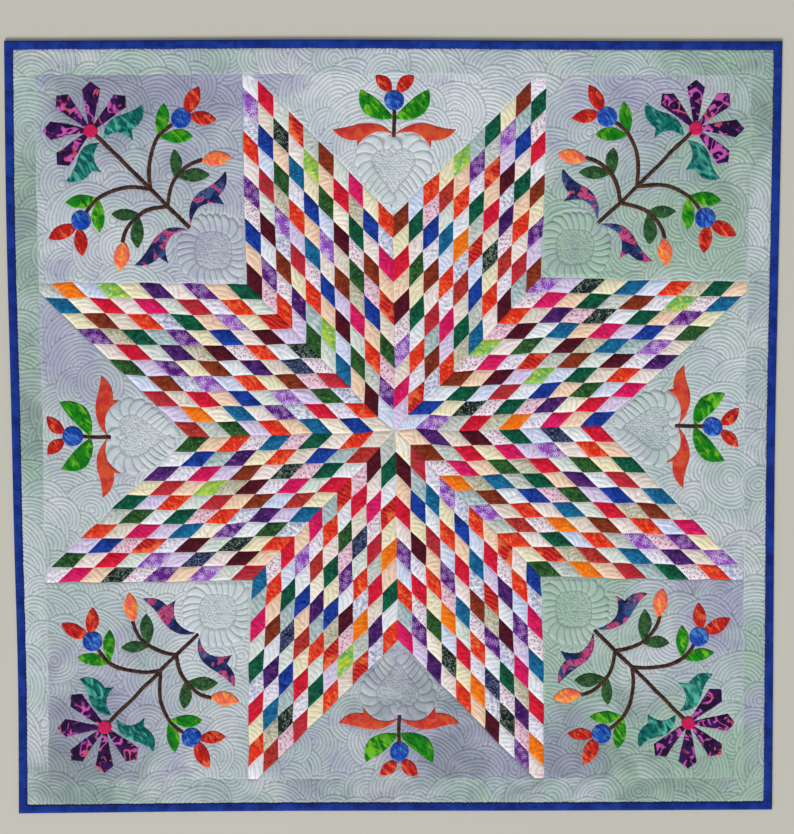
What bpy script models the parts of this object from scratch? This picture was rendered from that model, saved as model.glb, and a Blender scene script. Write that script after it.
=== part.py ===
"""A pieced star quilt lying flat: eight arms of small diamonds, corner and side panels with flower
sprays sewn on, narrow border strips and a folded binding. Metres, +Z up, origin under the middle."""

import math
import random

import bmesh
import bpy
from mathutils import Vector
from mathutils.geometry import delaunay_2d_cdt

MM = 0.001

# Plan sizes, from the middle of the quilt.
HALF_WIDTH = 650 * MM
HALF_HEIGHT = 655 * MM
BORDER_SEAM = 598 * MM
DIAMOND_ROWS = 10
STRIP_WIDTH = 25.4 * MM
DIAMOND_ANGLE = math.radians(45)
DIAMOND_SIDE = STRIP_WIDTH / math.sin(DIAMOND_ANGLE)
ARM_SIDE = DIAMOND_ROWS * DIAMOND_SIDE
PANEL_CORNER = ARM_SIDE * math.cos(DIAMOND_ANGLE)

# Heights above the surface that the quilt lies on.
SEAM_Z = 3.6 * MM
GROOVE_Z = 3.5 * MM
RIDGE_Z = 4.6 * MM
PUFF_Z = 4.9 * MM
EDGE_Z = 4.2 * MM

# Space left between pieces.
GAP = 0.3 * MM
HALF_GAP = GAP / 2

# Binding, measured inwards from the quilt's edge.
BINDING_WIDTH = 15.5 * MM
BINDING_WALL = 1.3 * MM
BINDING_UNDER = 1.0 * MM
BINDING_OVER_Z = EDGE_Z + GAP
BINDING_TOP_Z = 5.6 * MM
STRIP_LIFT_Z = BINDING_UNDER + GAP
STRIP_LIFT_RUN = 2.5 * MM
BINDING_STATIONS = 12
# The end of a run, as faces between the numbered corners of its profile.
BINDING_CAP = ((0, 1, 7, 8), (1, 2, 6, 7), (2, 3, 6), (3, 4, 5, 6))

# Sewn-on pieces.
PIECE_UNDER_Z = RIDGE_Z + GAP
PIECE_EDGE = 0.6 * MM
PIECE_CROWN = 0.6 * MM
STEM_EDGE = 1.0 * MM
STEM_WIDTH = 6.6 * MM
CROWN_REACH = 8 * MM

# Quilting: fans of arcs spread over the ground.
FAN_SEED = 7
FAN_SPACING = 128 * MM
FAN_JITTER = 16 * MM
FAN_RINGS = ((22 * MM, GROOVE_Z), (43 * MM, RIDGE_Z), (64 * MM, GROOVE_Z), (85 * MM, RIDGE_Z))
FAN_STEP = 27 * MM
FAN_CLEAR = 9 * MM

# Feathered rings quilted in the panels: distance from the middle, radius, and number of plumes.
WREATH_CORNER_OUT = 420 * MM
WREATH_SIDE_OUT = 436 * MM
WREATH_RADIUS = 58 * MM
WREATH_CORE = 28 * MM
WREATH_PLUMES = 10

# Unevenness of the hand work. Each row pulls the cloth round one place, in millimetres, and may
# turn it there, in degrees.
PULL_COLUMNS = ("x", "y", "reach", "shift_x", "shift_y", "turn")
PULLS = (
    (0, 0, 45, -2.0, 4.0, 5.0),
    (350, 0, 130, -8.0, 9.0, 0.0),
    (-350, 0, 130, 9.0, -7.0, 0.0),
    (0, 360, 120, -3.0, 4.0, 0.0),
    (0, -360, 120, 3.0, 2.0, 0.0),
    (250, 250, 90, -6.0, 6.0, 0.0),
    (-250, 250, 90, 4.0, -3.0, 0.0),
    (250, -250, 90, -4.0, 6.0, 0.0),
    (-250, -250, 90, 7.0, 3.0, 0.0),
    (-650, 380, 190, -2.5, 0.0, 0.0),
    (-650, -420, 150, 3.5, 0.0, 0.0),
    (650, -60, 330, -3.5, 0.0, 0.0),
    (-150, 655, 240, 0.0, 2.5, 0.0),
    (-250, -655, 260, 0.0, 2.5, 0.0),
)

# The four sprays: a name, the way each one points from the middle, in degrees, and its own small
# shift along and across that way, in millimetres.
SPRAYS = (
    ("top_right", 45, 4.0, 3.5),
    ("top_left", 135, 2.0, 0.0),
    ("bottom_left", 225, -2.0, 3.0),
    ("bottom_right", 315, -4.0, 1.0),
)
SIDE_SPRAYS = (
    ("right", 0, -6.0, 5.0),
    ("top", 90, 3.0, 0.0),
    ("left", 180, -2.0, 3.0),
    ("bottom", 270, 0.0, 4.0),
)

# Colours of the plain cloths.
GROUND = (0.55, 0.62, 0.60)
BORDER = (0.47, 0.58, 0.52)
STAR = (0.62, 0.22, 0.20)
BLUE = (0.03, 0.08, 0.42)
PURPLE = (0.12, 0.02, 0.16)
RED = (0.62, 0.04, 0.03)
TEAL = (0.01, 0.30, 0.24)
NAVY = (0.04, 0.07, 0.20)
GREEN = (0.03, 0.30, 0.03)


def clear_scene():
    for old in list(bpy.data.objects):
        bpy.data.objects.remove(old, do_unlink=True)


def cloth(name, colour):
    material = bpy.data.materials.new(name)
    material.use_nodes = True
    shader = material.node_tree.nodes["Principled BSDF"]
    shader.inputs["Base Color"].default_value = (*colour, 1)
    shader.inputs["Roughness"].default_value = 0.9
    shader.inputs["Metallic"].default_value = 0
    return material


def uneven(x, y):
    """Where a point of the drawn plan lies on the handmade quilt."""
    out_x, out_y = x, y
    for row in PULLS:
        pull = dict(zip(PULL_COLUMNS, row))
        dx = x - pull["x"] * MM
        dy = y - pull["y"] * MM
        fade = math.exp(-(dx * dx + dy * dy) / (2 * (pull["reach"] * MM) ** 2))
        turn = math.radians(pull["turn"])
        out_x += fade * (pull["shift_x"] * MM - turn * dy)
        out_y += fade * (pull["shift_y"] * MM + turn * dx)
    return out_x, out_y


def polar(radius, angle):
    return radius * math.cos(angle), radius * math.sin(angle)


def turned(points, angle, along=0.0, across=0.0):
    """Points given as (along, across) a heading, placed on the quilt."""
    cos, sin = math.cos(angle), math.sin(angle)
    return [
        ((u + along) * cos - (v + across) * sin, (u + along) * sin + (v + across) * cos)
        for u, v in points
    ]


def mirrored(points):
    return [(u, -v) for u, v in reversed(points)]


def twice_area(loop):
    return sum(
        a[0] * b[1] - b[0] * a[1] for a, b in zip(loop, list(loop[1:]) + [loop[0]])
    )


def inside(point, loop):
    x, y = point
    crossed = False
    for a, b in zip(loop, list(loop[1:]) + [loop[0]]):
        if (a[1] > y) != (b[1] > y):
            if x < (b[0] - a[0]) * (y - a[1]) / (b[1] - a[1]) + a[0]:
                crossed = not crossed
    return crossed


def distance_to(point, loop):
    """Distance from a point to the nearest edge of a closed loop."""
    p = Vector(point)
    nearest = math.inf
    for a, b in zip(loop, list(loop[1:]) + [loop[0]]):
        start = Vector(a)
        edge = Vector(b) - start
        share = max(0.0, min(1.0, (p - start).dot(edge) / edge.length_squared))
        nearest = min(nearest, (start + edge * share - p).length)
    return nearest


def drawn_in(loop, amount):
    """A loop that runs anticlockwise, moved inwards by the same amount all round."""
    result = []
    for k, point in enumerate(loop):
        before = Vector(point) - Vector(loop[k - 1])
        after = Vector(loop[(k + 1) % len(loop)]) - Vector(point)
        normal_a = Vector((-before.y, before.x)).normalized()
        normal_b = Vector((-after.y, after.x)).normalized()
        way = normal_a + normal_b
        way *= amount / (1 + normal_a.dot(normal_b))
        result.append((point[0] + way.x, point[1] + way.y))
    return result


def clipped(loop, limit_x, limit_y):
    """A convex loop cut off at |x| = limit_x and |y| = limit_y."""
    for axis, sign, limit in ((0, 1, limit_x), (0, -1, limit_x), (1, 1, limit_y), (1, -1, limit_y)):
        kept = []
        for a, b in zip(loop, list(loop[1:]) + [loop[0]]):
            depth_a = limit - sign * a[axis]
            depth_b = limit - sign * b[axis]
            if depth_a >= 0:
                kept.append(a)
            if (depth_a > 0) != (depth_b > 0) and abs(depth_a - depth_b) > 1e-9:
                share = depth_a / (depth_a - depth_b)
                kept.append(tuple(a[k] + share * (b[k] - a[k]) for k in (0, 1)))
        loop = [p for k, p in enumerate(kept) if math.dist(p, kept[k - 1]) > 1e-6]
    return loop


def triangulated(loops, lines=(), points=()):
    """Triangles of what the loops cover. Every given point is (x, y, z), and a new one where two
    lines cross has no height of its own."""
    given = []
    faces = []
    edges = []
    for loop in loops:
        faces.append(list(range(len(given), len(given) + len(loop))))
        given += loop
    for line in lines:
        edges += [(len(given) + k, len(given) + k + 1) for k in range(len(line) - 1)]
        given += line
    given += points
    flat = [Vector(p[:2]) for p in given]
    places, _, triangles, sources, _, origins = delaunay_2d_cdt(flat, edges, faces, 1, 1e-6)
    corners = []
    for place, source in zip(places, sources):
        heights = [given[k][2] for k in source if len(given[k]) > 2]
        corners.append((place.x, place.y, heights[0] if heights else None))
    kept = [tuple(t) for t, origin in zip(triangles, origins) if origin]
    return corners, kept


def rim_of(triangles):
    """The outer edge of a set of triangles, as one loop of corner numbers."""
    used = {(t[k], t[(k + 1) % 3]) for t in triangles for k in range(3)}
    following = {a: b for a, b in used if (b, a) not in used}
    start = next(iter(following))
    rim = [start]
    while following[rim[-1]] != start:
        rim.append(following[rim[-1]])
    assert len(rim) == len(following), "the outline has a hole or falls into pieces"
    return rim


def solid(name, material, loops, top_z, under_z, lines=(), points=(), under_lines=()):
    """A closed slab of cloth. top_z and under_z give a height for a place with none of its own."""
    corners, triangles = triangulated(loops, lines, points)
    rim = rim_of(triangles)
    edge = [corners[k][:2] for k in rim]
    low_corners, low_triangles = triangulated([edge], under_lines)
    number = {(round(x * 1e6), round(y * 1e6)): k for k, (x, y) in enumerate(edge)}
    mesh = bmesh.new()
    tops = {}
    for k in sorted({k for t in triangles for k in t}):
        x, y, z = corners[k]
        tops[k] = mesh.verts.new((*uneven(x, y), top_z(x, y) if z is None else z))
    lows = {}
    low_rim = {}
    for k in sorted({k for t in low_triangles for k in t}):
        x, y, _ = low_corners[k]
        lows[k] = mesh.verts.new((*uneven(x, y), under_z(x, y)))
        place = number.get((round(x * 1e6), round(y * 1e6)))
        if place is not None:
            low_rim[place] = lows[k]
    for triangle in triangles:
        mesh.faces.new([tops[k] for k in triangle])
    for triangle in low_triangles:
        mesh.faces.new([lows[k] for k in reversed(triangle)])
    for k in range(len(rim)):
        after = (k + 1) % len(rim)
        mesh.faces.new([tops[rim[after]], tops[rim[k]], low_rim[k], low_rim[after]])
    return finished(name, material, mesh)


def finished(name, material, mesh):
    bmesh.ops.recalc_face_normals(mesh, faces=mesh.faces)
    data = bpy.data.meshes.new(name)
    mesh.to_mesh(data)
    mesh.free()
    data.shade_smooth()
    data.set_sharp_from_angle(angle=math.radians(50))
    data.materials.append(material)
    made = bpy.data.objects.new(name, data)
    bpy.context.collection.objects.link(made)
    return made


def at_height(points, z):
    return [(x, y, z) for x, y in points]


def spaced(start, end, parts):
    """Places from start up to, but not at, end."""
    return [start + (end - start) * k / parts for k in range(parts)]


def star_arm(number):
    """One arm: its small diamonds puff up between the seams, and the border seam cuts its tip."""
    heading = number * DIAMOND_ANGLE
    step_a = Vector(polar(1, heading))
    step_b = Vector(polar(1, heading + DIAMOND_ANGLE))
    inset = HALF_GAP / math.sin(DIAMOND_ANGLE)
    start = (step_a + step_b) * inset
    pitch = (ARM_SIDE - 2 * inset) / DIAMOND_ROWS

    def place(i, j):
        return tuple(start + (step_a * i + step_b * j) * pitch)

    rows = range(DIAMOND_ROWS)
    last = DIAMOND_ROWS
    outline = [place(k, 0) for k in rows] + [place(last, k) for k in rows]
    outline += [place(last - k, last) for k in rows] + [place(0, last - k) for k in rows]
    outline = clipped(outline, BORDER_SEAM - HALF_GAP, BORDER_SEAM - HALF_GAP)
    seams = []
    for k in range(1, DIAMOND_ROWS):
        seams.append([(*place(k, m), SEAM_Z) for m in range(DIAMOND_ROWS + 1)])
        seams.append([(*place(m, k), SEAM_Z) for m in range(DIAMOND_ROWS + 1)])
    puffs = [(*place(i + 0.5, j + 0.5), PUFF_Z) for i in rows for j in rows]
    puffs = [p for p in puffs if max(abs(p[0]), abs(p[1])) < BORDER_SEAM - FAN_CLEAR]
    return solid(
        f"star_arm_{number + 1}",
        cloth(f"star cloth {number + 1}", STAR),
        [at_height(outline, SEAM_Z)],
        lambda x, y: SEAM_Z,
        lambda x, y: 0.0,
        lines=seams,
        points=puffs,
    )


def fan_seeds():
    """Middles of the quilted fans, on a loosely kept hexagonal grid over the whole quilt."""
    chance = random.Random(FAN_SEED)
    seeds = []
    rise = FAN_SPACING * math.sqrt(3) / 2
    rows = math.ceil(HALF_HEIGHT / rise)
    for row in range(-rows, rows + 1):
        offset = FAN_SPACING / 2 * (row % 2)
        columns = math.ceil(HALF_WIDTH / FAN_SPACING)
        for column in range(-columns, columns + 1):
            x = column * FAN_SPACING + offset + chance.uniform(-FAN_JITTER, FAN_JITTER)
            y = row * rise + chance.uniform(-FAN_JITTER, FAN_JITTER)
            seeds.append((x, y))
    return seeds


def wreath_middles():
    corners = [polar(WREATH_CORNER_OUT, math.radians(45 + 90 * k)) for k in range(4)]
    sides = [polar(WREATH_SIDE_OUT, math.radians(90 * k)) for k in range(4)]
    return corners + sides


def quilting(outline, seeds, wreaths):
    """Ridges and grooves of the quilting that lie inside an outline, as lines of (x, y, z)."""

    def allowed(place):
        return inside(place, outline) and distance_to(place, outline) > FAN_CLEAR

    lines = []
    for seed in seeds:
        if any(math.dist(seed, middle) < WREATH_RADIUS for middle in wreaths):
            continue
        if allowed(seed):
            lines.append([(*seed, RIDGE_Z)])
        for radius, height in FAN_RINGS:
            count = round(2 * math.pi * radius / FAN_STEP)
            ring = []
            for k in range(count + 1):
                dx, dy = polar(radius, 2 * math.pi * k / count)
                place = (seed[0] + dx, seed[1] + dy)
                nearest = min(seeds, key=lambda other: math.dist(other, place))
                free = all(math.dist(place, m) > WREATH_RADIUS + FAN_CLEAR for m in wreaths)
                if nearest == seed and free and allowed(place):
                    ring.append((*place, height))
                elif ring:
                    lines.append(ring)
                    ring = []
            if ring:
                lines.append(ring)
    for middle in wreaths:
        if inside(middle, outline):
            lines += wreath(middle, allowed)
    return lines


def wreath(middle, allowed):
    """A ring of plumes round a flat core."""

    def place(radius, turn, height):
        dx, dy = polar(radius, turn)
        return (middle[0] + dx, middle[1] + dy, height)

    step = 2 * math.pi / WREATH_PLUMES
    lines = [[(*middle, RIDGE_Z)]]
    lines.append([place(WREATH_CORE, k * step, GROOVE_Z) for k in range(WREATH_PLUMES + 1)])
    for k in range(WREATH_PLUMES):
        ridge = place(WREATH_RADIUS * 0.78, (k + 0.5) * step, RIDGE_Z)
        tip = place(WREATH_RADIUS, (k + 0.5) * step, GROOVE_Z)
        valley = place(WREATH_RADIUS * 0.86, k * step, GROOVE_Z)
        lines += [[spot] for spot in (ridge, tip, valley) if allowed(spot[:2])]
    return lines


def ground(name, colour, outline, seeds, wreaths):
    """A panel of the plain ground with the quilting raised in it."""
    loop = drawn_in(outline, HALF_GAP)
    lines = quilting(loop, seeds, wreaths)
    return solid(
        name,
        cloth(name + " cloth", colour),
        [at_height(loop, SEAM_Z)],
        lambda x, y: SEAM_Z,
        lambda x, y: 0.0,
        lines=[line for line in lines if len(line) > 1],
        points=[line[0] for line in lines if len(line) == 1],
    )


def seam_stations():
    """Places along a border seam, from the end of an arm's tip to the corner."""
    return spaced(PANEL_CORNER, BORDER_SEAM, 10)


def corner_outline(quarter):
    along = [PANEL_CORNER + k * DIAMOND_SIDE for k in range(DIAMOND_ROWS)]
    loop = [(x, PANEL_CORNER) for x in along]
    loop += [(BORDER_SEAM, y) for y in seam_stations()]
    loop += [(x, BORDER_SEAM) for x in [BORDER_SEAM] + seam_stations()[:0:-1]]
    loop += [(PANEL_CORNER, y) for y in [BORDER_SEAM] + along[:0:-1]]
    return turned(loop, quarter * math.pi / 2)


def side_outline(quarter):
    fall = BORDER_SEAM - ARM_SIDE
    step = DIAMOND_SIDE * math.cos(DIAMOND_ANGLE)
    rows = range(1, math.ceil(fall / step))
    upper = [(ARM_SIDE + k * step, k * step) for k in rows] + [(BORDER_SEAM, fall)]
    lower = [(x, -y) for x, y in upper]
    edge = [(BORDER_SEAM, y) for y in spaced(-fall, fall, 14)[1:]]
    return turned([(ARM_SIDE, 0.0)] + lower + edge + upper[::-1], quarter * math.pi / 2)


def outer(amount):
    """The quilt's half width and half height, brought in by an amount."""
    return HALF_WIDTH - amount, HALF_HEIGHT - amount


def stations(run, out):
    """Places along a line that keeps step with the binding beside it."""
    return [(run * share, out) for share in spaced(-1, 1, BINDING_STATIONS)] + [(run, out)]


def border(name, across, sign, seeds):
    """One border strip. The top and bottom strips run right across, the others stop at them."""
    half_x, half_y = outer(BINDING_WALL + GAP + HALF_GAP)
    edge_x, edge_y = outer(BINDING_WIDTH)
    flat_x, flat_y = outer(BINDING_WIDTH + STRIP_LIFT_RUN)
    fall = BORDER_SEAM - ARM_SIDE
    seam = [-BORDER_SEAM] + [-x for x in seam_stations()[:0:-1]] + [-PANEL_CORNER]
    seam += spaced(-fall, fall, 14) + [fall, PANEL_CORNER] + seam_stations()[1:] + [BORDER_SEAM]
    if across:
        seam = [-half_x, -edge_x, -flat_x] + seam + [flat_x, edge_x, half_x]
        half, far, edge, flat = half_x, half_y, edge_y, flat_y
        edge_run, flat_run = edge_x, flat_x
        heading = 0.0 if sign > 0 else math.pi
    else:
        half, far, edge, flat = BORDER_SEAM, half_x, edge_x, flat_x
        edge_run = flat_run = BORDER_SEAM - HALF_GAP
        heading = -sign * math.pi / 2
    loop = [(x, BORDER_SEAM) for x in seam] + [(half, flat), (half, edge)]
    loop += stations(half, far)[::-1] + [(-half, edge), (-half, flat)]
    loop = drawn_in(turned(loop, heading), HALF_GAP)
    edge_line = stations(edge_run, edge)
    flat_line = stations(flat_run, flat)
    if across:
        inner = BORDER_SEAM + HALF_GAP
        edge_line = [(-edge_x, inner)] + edge_line + [(edge_x, inner)]
        flat_line = [(-flat_x, inner)] + flat_line + [(flat_x, inner)]
    lines = [at_height(turned(edge_line, heading), EDGE_Z)]
    quilted = quilting(clipped(loop, *outer(BINDING_WIDTH + FAN_CLEAR)), seeds, ())
    middle_x, middle_y = outer(BINDING_WIDTH + STRIP_LIFT_RUN / 2)

    def under_binding(x, y):
        return abs(x) > middle_x or abs(y) > middle_y

    return solid(
        name,
        cloth(name + " cloth", BORDER),
        [loop],
        lambda x, y: EDGE_Z if under_binding(x, y) else SEAM_Z,
        lambda x, y: STRIP_LIFT_Z if under_binding(x, y) else 0.0,
        lines=lines + [line for line in quilted if len(line) > 1],
        points=[line[0] for line in quilted if len(line) == 1],
        under_lines=[turned(edge_line, heading), turned(flat_line, heading)],
    )


def binding(name, quarter):
    """One run of the binding: a folded strip that wraps the edge, mitred at both ends."""
    top = BINDING_TOP_Z
    profile = (
        (BINDING_WIDTH, 0.0),
        (0.6 * MM, 0.0),
        (0.0, 4.2 * MM),
        (2.5 * MM, top),
        (BINDING_WIDTH, top - 0.4 * MM),
        (BINDING_WIDTH, BINDING_OVER_Z),
        (BINDING_WALL, BINDING_OVER_Z),
        (BINDING_WALL, BINDING_UNDER),
        (BINDING_WIDTH, BINDING_UNDER),
    )
    across = quarter % 2 == 1
    half_run, half_out = (HALF_WIDTH, HALF_HEIGHT) if across else (HALF_HEIGHT, HALF_WIDTH)
    mesh = bmesh.new()
    rings = []
    for k in range(BINDING_STATIONS + 1):
        share = 2 * k / BINDING_STATIONS - 1
        ring = []
        for amount, z in profile:
            run = share * (half_run - amount - HALF_GAP * math.sqrt(2))
            x, y = turned([(half_out - amount, run)], quarter * math.pi / 2)[0]
            ring.append(mesh.verts.new((*uneven(x, y), z)))
        rings.append(ring)
    for first, second in zip(rings, rings[1:]):
        for k in range(len(profile)):
            mesh.faces.new((first[k - 1], first[k], second[k], second[k - 1]))
    for ring in (rings[0], rings[-1]):
        for corners in BINDING_CAP:
            mesh.faces.new([ring[k] for k in corners])
    return finished(name, cloth(name + " cloth", BLUE), mesh)


def arc(start, end, bow, steps):
    """Points from start up to, but not at, end. bow is the arc's rise over its chord, to the right."""
    points = []
    a, b = Vector(start), Vector(end)
    chord = b - a
    side = Vector((chord.y, -chord.x))
    for k in range(steps):
        share = k / steps
        points.append(tuple(a + chord * share + side * (bow * 4 * share * (1 - share))))
    return points


def outline_of(rows):
    """A closed loop from rows of (along, across, bow, steps) in millimetres, one for each side."""
    corners = [(row[0] * MM, row[1] * MM) for row in rows]
    loop = []
    for k, (_, _, bow, steps) in enumerate(rows):
        loop += arc(corners[k], corners[(k + 1) % len(rows)], bow, steps)
    return loop if twice_area(loop) > 0 else loop[::-1]


def leaf(base, tip, outer_bow, inner_bow, steps=3):
    """A pointed leaf between two places, bowed out on its right side and on its left side."""
    return outline_of(((*base, outer_bow, steps), (*tip, inner_bow, steps)))


def disc(middle, radius, sides, turn=0.0):
    return [
        (middle[0] * MM + dx, middle[1] * MM + dy)
        for dx, dy in (polar(radius * MM, 2 * math.pi * k / sides + turn) for k in range(sides))
    ]


def ribbon(route, width):
    """A strip of even width along places in millimetres."""
    places = [Vector(place) * MM for place in route]
    left, right = [], []
    for k, place in enumerate(places):
        way = places[min(k + 1, len(places) - 1)] - places[max(k - 1, 0)]
        side = Vector((-way.y, way.x)).normalized() * width / 2
        left.append(tuple(place + side))
        right.append(tuple(place - side))
    return right + left[::-1]


def kite(heading, reach=81.0, shoulder=68.0, half=15.5, neck=3.6, start=8.0):
    """A petal of the fan flower, round its hub, in millimetres."""
    loop = [(start, -neck), (shoulder, -half), (reach, 0.0), (shoulder, half), (start, neck)]
    hub = HUB[0] * MM, HUB[1] * MM
    points = turned([(u * MM, v * MM) for u, v in loop], math.radians(heading))
    return [(hub[0] + x, hub[1] + y) for x, y in points]


# The corner spray, drawn for a heading along +X: places are (along, across) in millimetres.
HUB = (714.5, 0.0)
HUB_RADIUS = 11.5
PETAL_HEADINGS = (-90, -45, 0, 45, 90)
ROOT = (487.0, 0.0)
FORK_LOW = (538.0, 0.0)
FORK_HIGH = (577.0, 0.0)
BERRY = (622.0, 119.0)
BERRY_RADIUS = 16.8
BERRY_STEM = (FORK_HIGH, (600, 20), (618, 44), (628, 72), (627.5, 95), (625.2, 102.2))
BUD_STEM = (FORK_LOW, (551, 20), (559, 40), (561, 63), (557, 81), (549, 96))
BUD = ((549, 92), (519, 134), -0.24, -0.24)
BERRY_PETALS = (
    ((620, 128), (638, 179), -0.20, -0.26),
    ((618, 130), (579, 160), -0.26, -0.20),
)
SMALL_LEAVES = (
    ((627, 70), (661, 118), -0.22, -0.17),
    ((628, 71), (586, 112), -0.17, -0.22),
    ((559, 41), (595, 76), -0.24, -0.18),
    ((561, 44), (523, 86), -0.18, -0.24),
)
FLOWER_LEAF = (
    (690, 4.0, 0.20, 4),
    (696, 54, -0.08, 2),
    (686, 90, 0.20, 3),
    (666, 48, 0.0, 1),
    (652, 37, -0.24, 4),
)
ROOT_LEAF = (
    (489, 3.9, 0.18, 4),
    (514, 60, -0.05, 2),
    (509, 110, 0.15, 3),
    (489, 72, 0.0, 1),
    (471, 68, -0.27, 4),
)

# The side spray, drawn the same way.
SIDE_STEM = ((488, 0), (538, 0))
SIDE_BERRY = (551.0, 0.0)
SIDE_PETAL = ((563, 4), (594, 33), -0.22, -0.30)
SIDE_LEAF = ((521, 0), (529, 50), (571, 57))
SIDE_TAIL = (
    (493, 0.0, 0.14, 3),
    (511, 62, -0.03, 2),
    (503, 105, 0.14, 3),
    (484, 62, 0.0, 1),
    (472, 62, -0.22, 4),
)


def sewn_on(name, colour, shapes, way):
    """A group of touching pieces as one plate, crowned towards the middle of each piece. Each
    shape is its outline and its edge height, and may have places along its middle."""
    loops = [turned(outline, *way) for outline, _, _ in shapes]
    edges = [edge for _, edge, _ in shapes]
    spines = [place for _, _, spine in shapes for place in turned(spine, *way)]

    def top(x, y):
        best = PIECE_EDGE
        for loop, edge in zip(loops, edges):
            depth = distance_to((x, y), loop)
            if inside((x, y), loop):
                best = max(best, edge + PIECE_CROWN * min(1.0, depth / CROWN_REACH))
        return PIECE_UNDER_Z + best

    return solid(
        name,
        cloth(name + " cloth", colour),
        loops,
        top,
        lambda x, y: PIECE_UNDER_Z,
        points=spines,
    )


def spine_of(base, tip, count=2):
    """Places spread along the line between two places in millimetres."""
    return [
        tuple((a + (b - a) * (k + 1) / (count + 1)) * MM for a, b in zip(base, tip))
        for k in range(count)
    ]


def leaf_shape(row):
    return leaf(*row), PIECE_EDGE, spine_of(row[0], row[1])


def both_sides(outline, edge, spine):
    """A shape and its mirror image over the spray's own line."""
    return (outline, edge, spine), (mirrored(outline), edge, mirrored(spine))


def corner_spray(name, heading, along, across):
    way = (math.radians(heading), along * MM, across * MM)
    stem_end = HUB[0] - HUB_RADIUS - 0.4
    stems = [(ribbon((ROOT, FORK_LOW, FORK_HIGH, (stem_end, 0.0)), STEM_WIDTH), STEM_EDGE, [])]
    for route in (BERRY_STEM, BUD_STEM):
        stems += both_sides(ribbon(route, STEM_WIDTH), STEM_EDGE, [])
    for row in (*SMALL_LEAVES, BUD):
        stems += both_sides(*leaf_shape(row))
    sewn_on(f"stem_{name}", GREEN, stems, way)
    flower = [(kite(turn), PIECE_EDGE, []) for turn in PETAL_HEADINGS]
    flower.append((disc(HUB, HUB_RADIUS, 12, math.radians(15)), STEM_EDGE, [(HUB[0] * MM, 0.0)]))
    sewn_on(f"flower_{name}", PURPLE, flower, way)
    berry = [(disc(BERRY, BERRY_RADIUS, 12), STEM_EDGE, [(BERRY[0] * MM, BERRY[1] * MM)])]
    berry += [leaf_shape(row) for row in BERRY_PETALS]
    forked = (outline_of(FLOWER_LEAF), PIECE_EDGE, spine_of((690, 28), (678, 70)))
    rooted = (outline_of(ROOT_LEAF), PIECE_EDGE, spine_of((502, 45), (502, 88)))
    for side, turn in (("a", False), ("b", True)):
        for piece, colour, shapes in (
            ("berry", RED, berry),
            ("flower_leaf", TEAL, [forked]),
            ("root_leaf", NAVY, [rooted]),
        ):
            placed = [both_sides(*shape)[turn] for shape in shapes]
            sewn_on(f"{piece}_{name}_{side}", colour, placed, way)


def side_spray(name, heading, along, across):
    way = (math.radians(heading), along * MM, across * MM)
    base, shoulder, tip = SIDE_LEAF
    green = outline_of(((*base, -0.12, 3), (*shoulder, -0.14, 3), (*tip, 0.14, 4)))
    shapes = [(ribbon(SIDE_STEM, STEM_WIDTH), STEM_EDGE, [])]
    shapes.append((disc(SIDE_BERRY, BERRY_RADIUS, 12), STEM_EDGE, [(SIDE_BERRY[0] * MM, 0.0)]))
    shapes += both_sides(*leaf_shape(SIDE_PETAL))
    shapes += both_sides(green, PIECE_EDGE, spine_of((518, 16), (558, 58)))
    shapes += both_sides(outline_of(SIDE_TAIL), PIECE_EDGE, spine_of((503, 34), (499, 78)))
    sewn_on(f"side_spray_{name}", RED, shapes, way)


def centre_on_origin():
    """Moves every piece so that the middle of the whole quilt's box stands over the origin."""
    pieces = [made.data for made in bpy.context.collection.objects]
    for axis in (0, 1):
        places = [vertex.co[axis] for data in pieces for vertex in data.vertices]
        middle = (min(places) + max(places)) / 2
        for data in pieces:
            for vertex in data.vertices:
                vertex.co[axis] -= middle


def build():
    clear_scene()
    seeds = fan_seeds()
    wreaths = wreath_middles()
    for number in range(8):
        star_arm(number)
    for quarter in range(4):
        ground(f"corner_panel_{quarter + 1}", GROUND, corner_outline(quarter), seeds, wreaths)
        ground(f"side_panel_{quarter + 1}", GROUND, side_outline(quarter), seeds, wreaths)
    border("border_top", True, 1, seeds)
    border("border_bottom", True, -1, seeds)
    border("border_right", False, 1, seeds)
    border("border_left", False, -1, seeds)
    for quarter, side in enumerate(("right", "top", "left", "bottom")):
        binding(f"binding_{side}", quarter)
    for row in SPRAYS:
        corner_spray(*row)
    for row in SIDE_SPRAYS:
        side_spray(*row)
    centre_on_origin()


build()
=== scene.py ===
import math
import random

import bpy
import numpy as np
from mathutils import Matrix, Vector
from mathutils.geometry import delaunay_2d_cdt


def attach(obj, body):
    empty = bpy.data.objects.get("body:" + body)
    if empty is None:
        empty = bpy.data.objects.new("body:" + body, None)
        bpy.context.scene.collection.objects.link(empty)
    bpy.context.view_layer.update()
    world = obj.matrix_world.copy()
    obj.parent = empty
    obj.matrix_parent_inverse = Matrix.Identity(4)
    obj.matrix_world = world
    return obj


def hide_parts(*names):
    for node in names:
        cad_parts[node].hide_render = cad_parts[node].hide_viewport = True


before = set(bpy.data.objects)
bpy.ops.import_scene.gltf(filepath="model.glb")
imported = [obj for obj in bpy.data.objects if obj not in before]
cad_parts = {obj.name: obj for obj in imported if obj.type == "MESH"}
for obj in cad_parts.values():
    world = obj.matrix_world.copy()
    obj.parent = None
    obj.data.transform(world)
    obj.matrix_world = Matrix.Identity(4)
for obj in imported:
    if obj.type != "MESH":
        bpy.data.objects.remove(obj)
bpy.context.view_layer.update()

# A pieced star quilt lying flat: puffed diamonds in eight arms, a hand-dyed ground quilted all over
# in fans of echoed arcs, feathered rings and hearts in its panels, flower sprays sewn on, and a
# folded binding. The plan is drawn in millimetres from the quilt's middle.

MM = 0.001

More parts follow.
